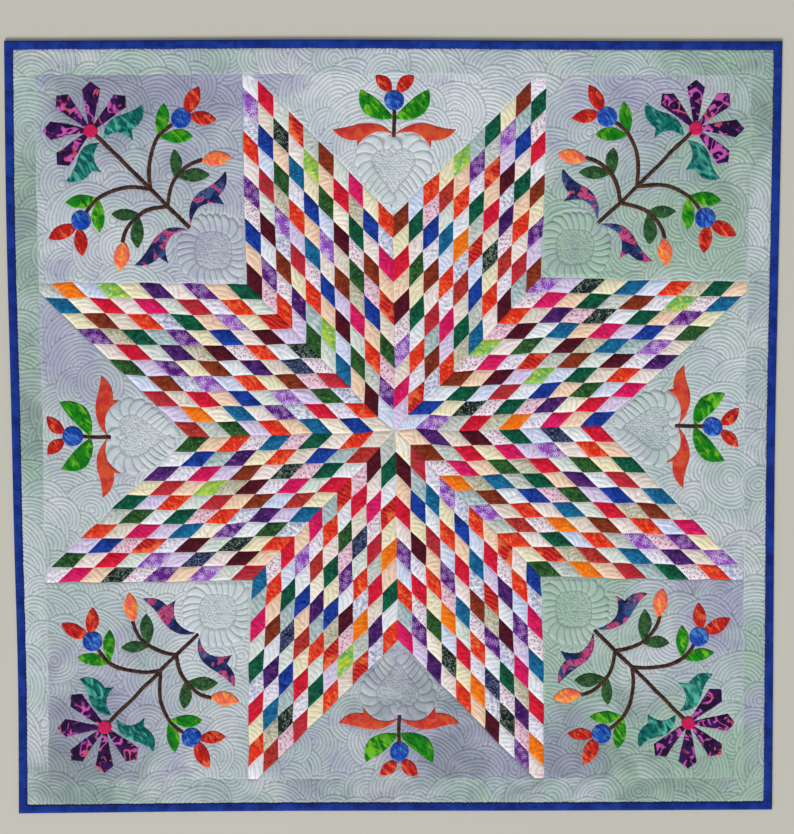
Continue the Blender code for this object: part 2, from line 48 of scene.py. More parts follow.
# Plan sizes.
HALF_WIDTH = 650.0
HALF_HEIGHT = 655.0
BORDER_SEAM = 598.0
DIAMOND_ROWS = 10
STRIP_WIDTH = 25.4
DIAMOND_ANGLE = math.radians(45)
DIAMOND_SIDE = STRIP_WIDTH / math.sin(DIAMOND_ANGLE)
ARM_SIDE = DIAMOND_ROWS * DIAMOND_SIDE
PANEL_CORNER = ARM_SIDE * math.cos(DIAMOND_ANGLE)
BACKING_INSET = 12.0
BACKING_STATIONS = 100
SIDES = ("right", "top", "left", "bottom")

# The binding: the places along a side and the set-back at a mitre that the quilt's box goes by, how
# far the border runs under it, the spread of its stations, how soon a mitre lets it waver, and how
# the stitches along its inner edge are spaced and pull it out.
BINDING_WIDTH = 15.5
BINDING_STATIONS = 12
BINDING_GAP = 0.3
BINDING_TUCK = 6.0
BINDING_STEP = 2.2
MITRE_REACH = 24.0
STITCH_SPACING = 7.4
STITCH_PULL = 1.1

# Heights above the surface that the quilt lies on.
SEAM_Z = 3.3
CLOTH_Z = 3.75
RIDGE_RISE = 1.15
DIAMOND_RISE = 0.85
DIAMOND_RIDGE = 0.75
SEAM_CREASE = 0.2
CRUMPLE = 0.55
CRUMPLE_FADE = 5.0
FOOT_Z = 3.5
BACKING_Z = 0.35

# How far in from a seam the cloth takes to rise, to puff up and to show its quilting, how high and
# how far in it lies unevenly, and how wide the crease along a border seam is.
SEAM_RISE = 1.5
PUFF_REACH = 3.5
LIFT_FADE = 2.2
SETTLE_RISE = 0.3
SETTLE_REACH = 9.0
CREASE_REACH = 1.1

# Spread of points over the cloth, and how clear they keep of seams and of later fans. FAR is out of
# the reach of anything.
EDGE_STEP = 2.4
ARC_STEP = 3.7
GROOVE_STEP = 2.5
SEAM_ROW = 1.1
SEAM_CLEAR = 1.9
SEAM_MARKS = 10
FAN_CLEAR = 0.7
FAR = 99.0

# Fans of echoed arcs: later ones lie over earlier ones.
FAN_SEED = 11
FAN_SPACING = 45.0
FAN_JITTER = (-13.0, 13.0)
FAN_LINES = (5, 6, 6, 7, 8, 10)
FAN_PITCH = 6.3
FAN_FLOW = 330.0
FAN_LEAN = 185.0
STAR_PITCH = 8.0
ARC_PROFILE = (0.0, 0.8, 1.0, 0.8)
ARC_PARTS = len(ARC_PROFILE)

# Feathered shapes: plumes stand out from a core line, straight for the first share of their width
# and rounded for the second.
PLUME_WIDTH = 30.0
PLUME_PARTS = 8
PLUME_ROUND = 18
PLUME_CURL = 0.75
PLUME_SHARPNESS = 1.7
PLUME_SHARES = (0.70, 0.30)
PLUME_STEP = 2.2
PLUME_GAP = 1.6
PLUME_RISE = 1.75
PLUME_FADE = 3.0
PLUME_CLEAR = 3.4
PEBBLE = 5.0
PEBBLE_JITTER = (-1.1, 1.1)
PEBBLE_TOP = 1.3
PEBBLE_RISES = (0.35, 0.75)
WREATH_OUT = 436.0
WREATH_CORE = 32.0
WREATH_LOBES = 24
HEART_LOBES = 24
HEART_SIDE = ((397, 0), (413, 12), (431, 27), (449, 36), (464, 33), (472, 21), (470, 8), (462, 0))

# Unevenness of the hand work. Each row pulls the cloth round one place, and may turn it there.
PULL_COLUMNS = ("x", "y", "reach", "shift_x", "shift_y", "turn")
PULLS = (
    (0, 0, 45, -2.0, 4.0, 5.0),
    (350, 0, 130, -8.0, 9.0, 0.0),
    (-350, 0, 130, 9.0, -7.0, 0.0),
    (0, 360, 120, -3.0, 4.0, 0.0),
    (0, -360, 120, 3.0, 2.0, 0.0),
    (250, 250, 90, -6.0, 6.0, 0.0),
    (-250, 250, 90, 4.0, -3.0, 0.0),
    (250, -250, 90, -4.0, 6.0, 0.0),
    (-250, -250, 90, 7.0, 3.0, 0.0),
    (-650, 380, 190, -2.5, 0.0, 0.0),
    (-650, -420, 150, 3.5, 0.0, 0.0),
    (650, -60, 330, -3.5, 0.0, 0.0),
    (-150, 655, 240, 0.0, 2.5, 0.0),
    (-250, -655, 260, 0.0, 2.5, 0.0),
)

SWAY_WAVES = 6
WAVER = 1.7
WAVER_REACH = 75.0
WAVER_DEPTH = 60.0

# How the hand that guides the quilting strays: how far, over what reach, and its seed.
HAND_SWAYS = (
    (3.1, 85, 3),
    (0.9, 24, 5),
)

# The four sprays and the four side sprays: heading in degrees, and a shift along and across it.
SPRAYS = (
    ("top_right", 45, 4.0, 3.5),
    ("top_left", 135, 2.0, 0.0),
    ("bottom_left", 225, -2.0, 3.0),
    ("bottom_right", 315, -4.0, 1.0),
)
SIDE_SPRAYS = (
    ("right", 0, -6.0, 5.0),
    ("top", 90, 3.0, 0.0),
    ("left", 180, -2.0, 3.0),
    ("bottom", 270, 0.0, 4.0),
)

# Sewn-on pieces: rows of points inside their edge, the spread of points further in, how soon the
# turned edge rolls down, and how far in the middle is crowned.
PATCH_ROWS = (0.35, 1.0)
PATCH_STEP = 2.1
PATCH_CLEAR = 1.9
PATCH_ROLL = 0.35
PATCH_CROWN = 4.5
OUTLINE_STEP = 1.6
CURVE_STEP = 1.5

# How close to a sewn-on piece the quilting fades, and how far under it the ground needs no points.
PATCH_GAP = 0.3
PATCH_FADE = 2.6
PATCH_COVER = 3.5
NEAR = 8.0

# The corner spray, drawn for a heading along +X: places are (along, across). A stem's section gives
# shares of its half width and of its height.
STEM_WIDTH = 6.6
STEM_SECTION = (
    (-1.0, 0.0),
    (-0.93, 0.45),
    (-0.62, 0.82),
    (-0.3, 0.96),
    (0.0, 1.0),
    (0.3, 0.96),
    (0.62, 0.82),
    (0.93, 0.45),
    (1.0, 0.0),
)
HUB = (714.5, 0.0)
HUB_RADIUS = 11.5
PETAL_HEADINGS = (-90, -45, 0, 45, 90)
PETAL = ((8.0, -3.6), (68.0, -15.5), (81.0, 0.0), (68.0, 15.5), (8.0, 3.6))
ROOT = (487.0, 0.0)
FORK_LOW = (538.0, 0.0)
FORK_HIGH = (577.0, 0.0)
BERRY = (622.0, 119.0)
BERRY_RADIUS = 16.8
BERRY_STEM = (FORK_HIGH, (600, 20), (618, 44), (628, 72), (627.5, 95), (625.2, 102.2))
BUD_STEM = (FORK_LOW, (551, 20), (559, 40), (561, 63), (557, 81), (549, 96))
BUD = ((549, 92), (519, 134), -0.24, -0.24)
BERRY_PETALS = (
    ((620, 128), (638, 179), -0.20, -0.26),
    ((618, 130), (579, 160), -0.26, -0.20),
)
BRIGHT_LEAVES = (
    ((627, 70), (661, 118), -0.22, -0.17),
    ((628, 71), (586, 112), -0.17, -0.22),
)
DARK_LEAVES = (
    ((559, 41), (595, 76), -0.24, -0.18),
    ((561, 44), (523, 86), -0.18, -0.24),
)
FLOWER_LEAF = (
    (690, 4.0, 0.20),
    (696, 54, -0.08),
    (686, 90, 0.20),
    (666, 48, 0.0),
    (652, 37, -0.24),
)
ROOT_LEAF = (
    (489, 3.9, 0.18),
    (514, 60, -0.05),
    (509, 110, 0.15),
    (489, 72, 0.0),
    (471, 68, -0.27),
)

# The side spray, drawn the same way.
SIDE_STEM = ((488, 0), (512, 0), (538, 0))
SIDE_BERRY = (551.0, 0.0)
SIDE_PETAL = ((563, 4), (594, 33), -0.22, -0.30)
SIDE_LEAF = ((521, 0, -0.12), (529, 50, -0.14), (571, 57, -0.06))
SIDE_TAIL = (
    (493, 0.0, 0.14),
    (511, 62, -0.03),
    (503, 105, 0.14),
    (484, 62, 0.0),
    (472, 62, -0.22),
)

# The floor, half its side in metres and how far it is under the quilt, and the light.
FLOOR_HALF = 30.0
FLOOR_Z = -0.3
FLOOR_COLOUR = (202, 200, 188)
SUN_COLOUR = (1.0, 0.985, 0.96)
SKY_COLOUR = (0.95, 0.97, 1.0, 1)

# The camera, as the photograph was taken: its place over the plan, and its turn in degrees.
CAMERA_PLACE = (-17.2, 125.6, 2035.5)
CAMERA_TURN = (-2.7975, -0.5563, -0.1198)
CAMERA_LENS = 51.8


def row_of(columns, row):
    return dict(zip(columns, row))


def pulled(points):
    """Where points of the drawn plan lie on the handmade quilt, before it is centred."""
    out = np.array(points, float)
    given = out.copy()
    for row in PULLS:
        pull = row_of(PULL_COLUMNS, row)
        away = given - (pull["x"], pull["y"])
        fade = np.exp(-(away**2).sum(1) / (2 * pull["reach"] ** 2))
        turn = math.radians(pull["turn"])
        out[:, 0] += fade * (pull["shift_x"] - turn * away[:, 1])
        out[:, 1] += fade * (pull["shift_y"] + turn * away[:, 0])
    return out


def polar(radius, angle):
    return radius * math.cos(angle), radius * math.sin(angle)


def turned(points, angle, along=0.0, across=0.0):
    """Points given as (along, across) a heading, placed on the quilt."""
    points = np.array(points, float) + (along, across)
    cos, sin = math.cos(angle), math.sin(angle)
    return points @ np.array(((cos, sin), (-sin, cos)))


def halves(quarter):
    """Half the run of one side of the quilt, and how far out that side is."""
    return (HALF_WIDTH, HALF_HEIGHT) if quarter % 2 else (HALF_HEIGHT, HALF_WIDTH)


def centring():
    """The move that brings the middle of the quilt's box over the origin."""
    places = []
    for quarter in range(4):
        run, out = halves(quarter)
        run -= BINDING_GAP * math.sqrt(2)
        shares = np.linspace(-1, 1, BINDING_STATIONS + 1)
        places.append(turned([(out, run * share) for share in shares], quarter * math.pi / 2))
    places = pulled(np.concatenate(places))
    return -(places.min(0) + places.max(0)) / 2


CENTRING = centring()


def on_quilt(points):
    """Plan points on the finished quilt: its seams waver a little, more in the middle."""
    points = np.asarray(points, float)
    depth = np.minimum(HALF_WIDTH - np.abs(points[:, 0]), HALF_HEIGHT - np.abs(points[:, 1]))
    fade = np.clip(depth / WAVER_DEPTH, 0, 1)[:, None]
    return pulled(points) + sway_both(points, WAVER_REACH, seed=31) * WAVER * fade + CENTRING


def laid(places, height):
    """Plan points with their heights, on the finished quilt."""
    return np.column_stack((on_quilt(places), height))


def edges_of(loop):
    """The two ends of each edge of a closed loop."""
    return zip(loop, np.roll(loop, -1, axis=0))


def inside(points, loop):
    """Which points lie inside a closed loop."""
    x, y = points[:, 0], points[:, 1]
    crossed = np.zeros(len(points), bool)
    for (ax, ay), (bx, by) in edges_of(loop):
        if ay != by:
            crossed ^= ((ay > y) != (by > y)) & (x < (bx - ax) * (y - ay) / (by - ay) + ax)
    return crossed


def boxed(points, loop, margin=0.0):
    """Which points lie inside a loop's box, with a margin round it."""
    low, high = loop.min(0) - margin, loop.max(0) + margin
    return ((points > low) & (points < high)).all(1)


def distance(points, loop, reach=1e9):
    """Distance from points to the nearest edge of a closed loop, exact up to a reach."""
    loop = np.asarray(loop, float)
    nearest = np.full(len(points), float(reach))
    near = np.flatnonzero(boxed(points, loop, reach))
    close = points[near]
    best = nearest[near]
    for a, b in edges_of(loop):
        edge = b - a
        share = np.clip((close - a) @ edge / max(edge @ edge, 1e-9), 0, 1)
        away = close - a - share[:, None] * edge
        best = np.minimum(best, np.hypot(away[:, 0], away[:, 1]))
    nearest[near] = best
    return nearest


def stepped(loop, step):
    """A closed loop with places added so that no two are much further apart than a step."""
    loop = np.asarray(loop, float)
    places = []
    for a, b in edges_of(loop):
        parts = max(1, round(math.dist(a, b) / step))
        places.append(a + (b - a) * np.arange(parts)[:, None] / parts)
    return np.concatenate(places)


def anticlockwise(loop):
    loop = np.asarray(loop, float)
    after = np.roll(loop, -1, axis=0)
    twice = (loop[:, 0] * after[:, 1] - after[:, 0] * loop[:, 1]).sum()
    return loop if twice > 0 else loop[::-1]


def inwards(loop, amount):
    """The places of an anticlockwise loop, moved inwards."""
    way = np.roll(loop, -1, axis=0) - np.roll(loop, 1, axis=0)
    normal = np.stack((-way[:, 1], way[:, 0]), 1)
    normal /= np.maximum(np.linalg.norm(normal, axis=1), 1e-9)[:, None]
    return loop + normal * amount


def smooth_line(route, step, closed=False):
    """A smooth line through a few places."""
    route = np.asarray(route, float)
    count = len(route)
    places = []
    for k in range(count if closed else count - 1):
        if closed:
            a, b, c, d = (route[(k + m) % count] for m in (-1, 0, 1, 2))
        else:
            b, c = route[k], route[k + 1]
            a = route[k - 1] if k else 2 * b - c
            d = route[k + 2] if k + 2 < count else 2 * c - b
        parts = max(1, round(math.dist(b, c) / step))
        for t in np.arange(parts) / parts:
            places.append(
                0.5 * (2 * b + (c - a) * t + (2 * a - 5 * b + 4 * c - d) * t**2
                       + (3 * b - a - 3 * c + d) * t**3)
            )
    if not closed:
        places.append(route[-1])
    return np.array(places)


def sways(points, reach, seed):
    """A slow, smooth unevenness between -1 and 1."""
    chance = random.Random(seed)
    total = np.zeros(len(points))
    for _ in range(SWAY_WAVES):
        angle = chance.uniform(0, 2 * math.pi)
        wave = 2 * math.pi / (reach * chance.uniform(0.6, 1.5))
        way = np.array(polar(wave, angle))
        total += np.sin(points @ way + chance.uniform(0, 2 * math.pi))
    return total / SWAY_WAVES


def sway_both(points, reach, seed):
    """Such an unevenness in x and another in y."""
    return np.column_stack((sways(points, reach, seed), sways(points, reach, seed + 1)))


# Points of the cloth are rows of these values: the last is how much painted shade falls there.
POINT_COLUMNS = ("x", "y", "lift", "groove")


def point_rows(places, lift, groove):
    places = np.asarray(places, float)
    rows = np.empty((len(places), len(POINT_COLUMNS)))
    rows[:, :2] = places
    rows[:, 2] = lift
    rows[:, 3] = groove
    return rows


def fan_middles():
    """Middles and line counts of the fans, in the order in which they lie over each other."""
    chance = random.Random(FAN_SEED)
    rise = FAN_SPACING * math.sqrt(3) / 2
    rows = math.ceil(HALF_HEIGHT / rise)
    columns = math.ceil(HALF_WIDTH / FAN_SPACING)
    fans = []
    for row in range(-rows, rows + 1):
        for column in range(-columns, columns + 1):
            x = (column + 0.5 * (row % 2)) * FAN_SPACING + chance.uniform(*FAN_JITTER)
            y = row * rise + chance.uniform(*FAN_JITTER)
            fans.append((x, y, chance.choice(FAN_LINES)))
    fans = np.array(fans)
    return fans[np.argsort(FAN_LEAN * sways(fans[:, :2], FAN_FLOW, FAN_SEED) - fans[:, 1])]


def circle(middle, radius, angles):
    x, y = middle
    return np.stack((x + radius * np.cos(angles), y + radius * np.sin(angles)), 1)


def fan_points(pitch):
    """Points along the echoed arcs of every fan where no later fan lies over it."""
    chance = random.Random(FAN_SEED + 1)
    fans = fan_middles()
    radii = fans[:, 2] * FAN_PITCH
    found = []
    for k, (x, y, lines) in enumerate(fans):
        rings = ARC_PARTS * round(lines * FAN_PITCH / pitch)
        places = [np.array([(x, y)])]
        parts = [np.array([2])]
        for ring in range(1, rings + 1):
            radius = radii[k] * ring / rings
            step = ARC_STEP if ring % ARC_PARTS else GROOVE_STEP
            steps = max(6, round(2 * math.pi * radius / step))
            angles = (np.arange(steps) + chance.random()) * 2 * math.pi / steps
            places.append(circle((x, y), radius, angles))
            parts.append(np.full(steps, ring % ARC_PARTS))
        places = np.concatenate(places)
        parts = np.concatenate(parts)
        clear = np.full(len(places), FAR)
        for m in range(k + 1, len(fans)):
            if math.dist(fans[m, :2], (x, y)) < radii[k] + radii[m] + 2:
                away = places - fans[m, :2]
                clear = np.minimum(clear, np.hypot(away[:, 0], away[:, 1]) - radii[m])
        lift = np.array(ARC_PROFILE)[parts] * np.clip(clear / LIFT_FADE, 0, 1)
        kept = clear > FAN_CLEAR
        # Every fourth ring of a fan is a stitched groove, marked for painted shade.
        found.append(point_rows(places[kept], lift[kept], (parts == 0)[kept]))
    rows = np.concatenate(found)
    rows[:, :2] += hand_sway(rows[:, :2])
    return rows


def hand_sway(places):
    """How far the hand that guided the quilting strayed from true arcs."""
    return sum(amount * sway_both(places, reach, seed) for amount, reach, seed in HAND_SWAYS)


def fan_lift(places, pitch):
    """Lift of the fans and the painted shade of their grooves, at places such as a seam they cross.
    """
    fans = fan_middles()
    drawn = places - hand_sway(places - hand_sway(places))
    free = np.ones(len(places), bool)
    clear = np.full(len(places), FAR)
    phase = np.zeros(len(places))
    for fan in fans[::-1]:
        radius = fan[2] * FAN_PITCH
        away = np.hypot(*(drawn - fan[:2]).T)
        over = (away <= radius) & free
        phase[over] = away[over] / radius * ARC_PARTS * round(radius / pitch)
        free &= ~over
        clear[free] = np.minimum(clear[free], away[free] - radius)
    phase %= ARC_PARTS
    lift = np.interp(phase, range(ARC_PARTS + 1), ARC_PROFILE + ARC_PROFILE[:1])
    groove = np.clip(1 - np.minimum(phase, ARC_PARTS - phase), 0, 1)
    return lift * np.clip(clear / LIFT_FADE, 0, 1), groove


def plume_points(core, lobes, heading=None):
    """Points of the plumes round a closed core line and of the pebbles inside it, and the plumes'
    scalloped outline. They curl one way round, or with a heading back against it on both sides."""
    core = anticlockwise(core)
    line = np.column_stack((core, inwards(core, -1.0) - core))
    line = np.concatenate((line, line[:1]))
    steps_along = np.linalg.norm(np.diff(line[:, :2], axis=0), axis=1)
    run = np.concatenate(((0,), np.cumsum(steps_along)))
    curl = np.full(len(core), PLUME_CURL)
    if heading is not None:
        way = np.roll(core, -1, axis=0) - np.roll(core, 1, axis=0)
        curl *= -np.sign(way @ np.array(polar(1, heading)))

    def plume_reach(round_off):
        return PLUME_WIDTH * (PLUME_SHARES[0] + PLUME_SHARES[1] * round_off)

    def plume_place(lobe, phase, width):
        """The place at a share across a plume and a distance out from the core line."""
        bend = curl[np.searchsorted(run, (lobe + 0.5) * run[-1] / lobes) - 1]
        at = (lobe + 0.5 + phase + bend * (width / PLUME_WIDTH) ** PLUME_SHARPNESS) % lobes
        at *= run[-1] / lobes
        place, way = np.split(np.array([np.interp(at, run, column) for column in line.T]), 2)
        return place + way / max(np.linalg.norm(way), 1e-6) * width

    rows = []
    for lobe in range(lobes):
        for turn in np.linspace(-math.pi / 2, math.pi / 2, PLUME_ROUND)[:-1]:
            reach = plume_reach(math.cos(turn))
            place = plume_place(lobe, 0.5 * math.sin(turn), reach)
            rows.append((*place, 0, 1, reach))
    outline = np.array(rows)[:, :2]
    for part in range(lobes * PLUME_PARTS):
        phase = (part % PLUME_PARTS) / PLUME_PARTS - 0.5
        round_off = math.sqrt(1 - (2 * phase) ** 2)
        reach = plume_reach(round_off) - PLUME_GAP
        steps = round(reach / PLUME_STEP)
        for step in range(steps + 1):
            width = reach * step / steps
            shoulder = min(1, (reach + PLUME_GAP - width) / 5) ** 0.5 * min(1, width / 3)
            shoulder *= 0.55 + 0.45 * width / reach
            edge = step == 0 or part % PLUME_PARTS == 0
            lift = 0.0 if edge else PLUME_RISE * round_off**0.7 * shoulder
            # Painted shade: full at the core line and between plumes, 0.4 as much near a plume's
            # sides and outer end.
            groove = 1.0 if edge else 0.4 * (round_off < 0.7 or step == steps)
            place = plume_place(part // PLUME_PARTS, phase, width)
            rows.append((*place, lift, groove, width))
    rows = np.array(rows)
    own = distance(rows[:, :2], core)
    rows = rows[own > rows[:, 4] - 0.6][:, :4]
    return np.concatenate((rows, pebble_points(core))), outline


def pebble_points(core):
    """Small round pebbles that fill a core."""
    chance = random.Random(len(core))
    low, high = core.min(0), core.max(0)
    rise = PEBBLE * math.sqrt(3) / 2
    rows = []
    for row in range(math.ceil((high[1] - low[1]) / rise)):
        top = [polar(PEBBLE_TOP, math.radians(120 * n + 30 * row)) for n in range(3)]
        for column in range(math.ceil((high[0] - low[0]) / PEBBLE) + 1):
            x = low[0] + (column + 0.5 * (row % 2)) * PEBBLE + chance.uniform(*PEBBLE_JITTER)
            y = low[1] + row * rise + chance.uniform(*PEBBLE_JITTER)
            tall = chance.uniform(*PEBBLE_RISES)
            rows.append((x, y, tall, 0))
            rows += [(x + dx, y + dy, 0.8 * tall, 0) for dx, dy in top]
            # The two points between pebbles are marked for painted shade.
            rows.append((x, y + rise * 2 / 3, 0, 1))
            rows.append((x + PEBBLE / 2, y + rise / 3, 0, 1))
    rows = np.array(rows)
    return rows[inside(rows[:, :2], core) & (distance(rows[:, :2], core) > PLUME_GAP)]


def wreath_core(quarter):
    middle = turned([(WREATH_OUT, 0)], math.radians(45 + 90 * quarter))[0]
    angles = np.linspace(0, 2 * math.pi, 72, endpoint=False)
    radii = WREATH_CORE * (1 + 0.05 * np.cos(4 * (angles - math.radians(45))))
    return circle(middle, radii, -angles)[::-1]


def heart_core(quarter):
    other = [(u, -v) for u, v in HEART_SIDE[-2:0:-1]]
    loop = smooth_line(list(HEART_SIDE) + other, 2.5, closed=True)
    return turned(loop, quarter * math.pi / 2)


def arc(start, end, bow):
    """Places from start up to but not at end. bow is the arc's rise over its chord, rightwards."""
    a, b = np.array(start, float), np.array(end, float)
    chord = b - a
    side = np.array((chord[1], -chord[0]))
    parts = max(2, round(math.dist(a, b) * (1 + 2 * bow * bow) / OUTLINE_STEP))
    share = np.arange(parts)[:, None] / parts
    return a + chord * share + side * (bow * 4 * share * (1 - share))


def outline_of(rows):
    """A closed loop from rows of (along, across, bow), one for each side."""
    ends = rows[1:] + rows[:1]
    sides = [arc((u, v), end[:2], bow) for (u, v, bow), end in zip(rows, ends)]
    return anticlockwise(np.concatenate(sides))


def leaf(base, tip, outer_bow, inner_bow):
    return outline_of(((*base, outer_bow), (*tip, inner_bow)))


def tapered(base, tip, outer_bow, inner_bow):
    """A leaf that swells towards its tip and is drawn in to a narrow base."""
    a, b = np.array(base, float), np.array(tip, float)
    side = np.array(((b - a)[1], -(b - a)[0]))
    share = np.linspace(0, 1, round(math.dist(a, b) / CURVE_STEP))[:, None]
    swell = share**1.25 * (1 - share) / 0.2156
    outer = a + (b - a) * share + side * outer_bow * swell
    inner = a + (b - a) * share - side * inner_bow * swell
    return anticlockwise(np.concatenate((outer, inner[-2:0:-1])))


def disc(middle, radius):
    steps = round(2 * math.pi * radius / CURVE_STEP)
    return circle(middle, radius, np.linspace(0, 2 * math.pi, steps, endpoint=False))


def petal(heading):
    """A kite-shaped petal of the fan flower, round its hub."""
    return stepped(turned(PETAL, math.radians(heading)) + HUB, OUTLINE_STEP)


def mirrored(loop):
    return np.asarray(loop, float)[::-1] * (1, -1)


def shape(form, line, cloth, edge=0.95, crown=0.9):
    """A sewn-on piece: a stem's middle line or a patch's outline, its cloth, and how far its turned
    edge and its middle stand up."""
    line = np.asarray(line, float)
    return {"form": form, "line": line, "cloth": cloth, "edge": edge, "crown": crown}


def both_sides(form, line, *rest):
    """A piece and its mirror image across the heading."""
    return [shape(form, line, *rest), shape(form, mirrored(line), *rest)]


def corner_shapes():
    """The pieces of a corner spray, node by node."""
    main = (ROOT, FORK_LOW, FORK_HIGH, (HUB[0] - 9, 0.0))
    stems = [shape("stem", main, "stem brown", 0, 2.2)]
    for route in (BERRY_STEM, BUD_STEM):
        stems += both_sides("stem", route, "stem brown", 0, 2.0)
    for rows, cloth in ((BRIGHT_LEAVES, "leaf bright"), (DARK_LEAVES, "leaf dark")):
        for row in rows:
            stems += both_sides("patch", tapered(*row), cloth)
    stems += both_sides("patch", leaf(*BUD), "bud orange", 1.2, 1.1)
    flower = [shape("patch", petal(turn), "petal purple") for turn in PETAL_HEADINGS]
    flower.append(shape("patch", disc(HUB, HUB_RADIUS), "hub magenta", 1.9, 0.7))
    nodes = {"stem_{0}": stems, "flower_{0}": flower}
    berry = both_sides("patch", disc(BERRY, BERRY_RADIUS), "berry blue", 1.7, 1.1)
    petals = [both_sides("patch", leaf(*row), "petal red") for row in BERRY_PETALS]
    forked = both_sides("patch", outline_of(FLOWER_LEAF), "leaf teal")
    rooted = both_sides("patch", outline_of(ROOT_LEAF), "root leaf navy")
    for n, side in enumerate("ab"):
        nodes["berry_{0}_" + side] = [berry[n]] + [pair[n] for pair in petals]
        nodes["flower_leaf_{0}_" + side] = [forked[n]]
        nodes["root_leaf_{0}_" + side] = [rooted[n]]
    return nodes


def side_shapes():
    """The pieces of a side spray, all in one node."""
    shapes = [shape("stem", SIDE_STEM, "stem brown", 0, 2.0)]
    shapes.append(shape("patch", disc(SIDE_BERRY, BERRY_RADIUS), "berry blue", 1.7, 1.1))
    shapes += both_sides("patch", leaf(*SIDE_PETAL), "petal red")
    shapes += both_sides("patch", outline_of(SIDE_LEAF), "leaf bright")
    shapes += both_sides("patch", outline_of(SIDE_TAIL), "tail rust")
    return {"side_spray_{0}": shapes}


def stem_sides(line, step=3.0):
    """A stem's smooth middle line, and its two edges as one closed loop."""
    line = smooth_line(line, step)
    way = np.gradient(line, axis=0)
    side = np.stack((-way[:, 1], way[:, 0]), 1) / np.linalg.norm(way, axis=1)[:, None]
    loop = np.concatenate((line - side * STEM_WIDTH / 2, (line + side * STEM_WIDTH / 2)[::-1]))
    return line, side, loop


def triangles(loop, lines, rows):
    """Corner rows and faces of what a closed loop covers, with the lines and points in it."""
    edges = []
    start = len(loop)
    for line in lines:
        edges += [(k, k + 1) for k in range(start, start + len(line) - 1)]
        start += len(line)
    given = np.concatenate((loop, *lines, rows))
    flat = [Vector(place) for place in given[:, :2].tolist()]
    result = delaunay_2d_cdt(flat, edges, [list(range(len(loop)))], 1, 1e-5)
    places, found, sources = result[0], result[2], result[3]
    out = np.zeros((len(places), given.shape[1]))
    out[:, :2] = [tuple(place) for place in places]
    for k, source in enumerate(sources):
        if source:
            out[k, 2:] = given[source[0], 2:]
        else:
            out[k, 3] = 1.0
    found = np.array(found, int)
    a, b, c = (out[found[:, n], :2] for n in range(3))
    twice = (b[:, 0] - a[:, 0]) * (c[:, 1] - a[:, 1]) - (b[:, 1] - a[:, 1]) * (c[:, 0] - a[:, 0])
    found[twice < 0] = found[twice < 0][:, ::-1]
    return out, found[np.abs(twice) > 1e-4]


def strip_faces(stations, width):
    """Faces between the stations of a strip, each a row of points across it."""
    corner = np.arange(stations - 1)[:, None] * width + np.arange(width - 1)[None, :]
    a, b = corner.ravel(), corner.ravel() + width
    return np.concatenate((np.stack((a, b, b + 1), 1), np.stack((a, b + 1, a + 1), 1)))[:, ::-1]


def made(name, points, faces, materials, numbers=None, **fields):
    """A mesh piece from points in millimetres. fields are values for each point."""
    mesh = bpy.data.meshes.new(name)
    points = np.asarray(points, float) * MM
    faces = np.asarray(faces, int)
    mesh.vertices.add(len(points))
    mesh.vertices.foreach_set("co", points.ravel())
    mesh.loops.add(faces.size)
    mesh.loops.foreach_set("vertex_index", faces.ravel())
    mesh.polygons.add(len(faces))
    mesh.polygons.foreach_set("loop_start", np.arange(0, faces.size, faces.shape[1]))
    for material in materials:
        mesh.materials.append(material)
    if numbers is not None:
        mesh.polygons.foreach_set("material_index", np.asarray(numbers, np.int32))
    for field, values in fields.items():
        layer = mesh.attributes.new(field, "FLOAT", "POINT")
        layer.data.foreach_set("value", np.asarray(values, np.float32))
    mesh.update()
    mesh.validate()
    mesh.shade_smooth()
    piece = bpy.data.objects.new(name, mesh)
    bpy.context.collection.objects.link(piece)
    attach(piece, "root")
    return piece


def dressed(node, slot, *mesh, **fields):
    """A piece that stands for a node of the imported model."""
    piece = made(node + "_cloth", *mesh, **fields)
    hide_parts(node)
    return piece


def star_outline():
    """The whole star's outer edge, its tips cut off at the border."""
    loop = []
    for k in range(8):
        tip = [polar(ARM_SIDE, k * DIAMOND_ANGLE), None, polar(ARM_SIDE, (k + 1) * DIAMOND_ANGLE)]
        tip[1] = (tip[0][0] + tip[2][0], tip[0][1] + tip[2][1])
        loop += clipped(tip, BORDER_SEAM)[:-1]
    return np.array(loop)


def hard_distance(places):
    """Distance to the nearest deep seam: round the star, or along the binding."""
    away = distance(places, STAR_OUTLINE, reach=40.0)
    depth = np.minimum(
        HALF_WIDTH - BINDING_WIDTH - np.abs(places[:, 0]),
        HALF_HEIGHT - BINDING_WIDTH - np.abs(places[:, 1]),
    )
    return np.minimum(away, np.maximum(depth, 0))


def soft_distance(places):
    """Distance to the nearest border seam, which the quilting crosses."""
    x, y = np.abs(places[:, 0]), np.abs(places[:, 1])
    upright = np.where(y < BORDER_SEAM, np.abs(x - BORDER_SEAM), FAR)
    return np.minimum(np.abs(y - BORDER_SEAM), upright)


def heights(rows, edge, plump, ridge, soft=None):
    """Height of each point from how far it is from a seam and how far the quilting lifts it."""
    away = 1 - np.exp(-edge / SEAM_RISE)
    rise = CLOTH_Z - SEAM_Z + plump * (1 - np.exp(-edge / PUFF_REACH))
    height = SEAM_Z + rise * away
    height += ridge * rows[:, 2] * np.clip(edge / LIFT_FADE, 0, 1)
    settled = 1 - np.exp(-edge / SETTLE_REACH)
    height += SETTLE_RISE * sways(rows[:, :2], reach=60, seed=9) * settled
    if soft is not None:
        height -= SEAM_CREASE * np.exp(-((soft / CREASE_REACH) ** 2)) * away
    return height


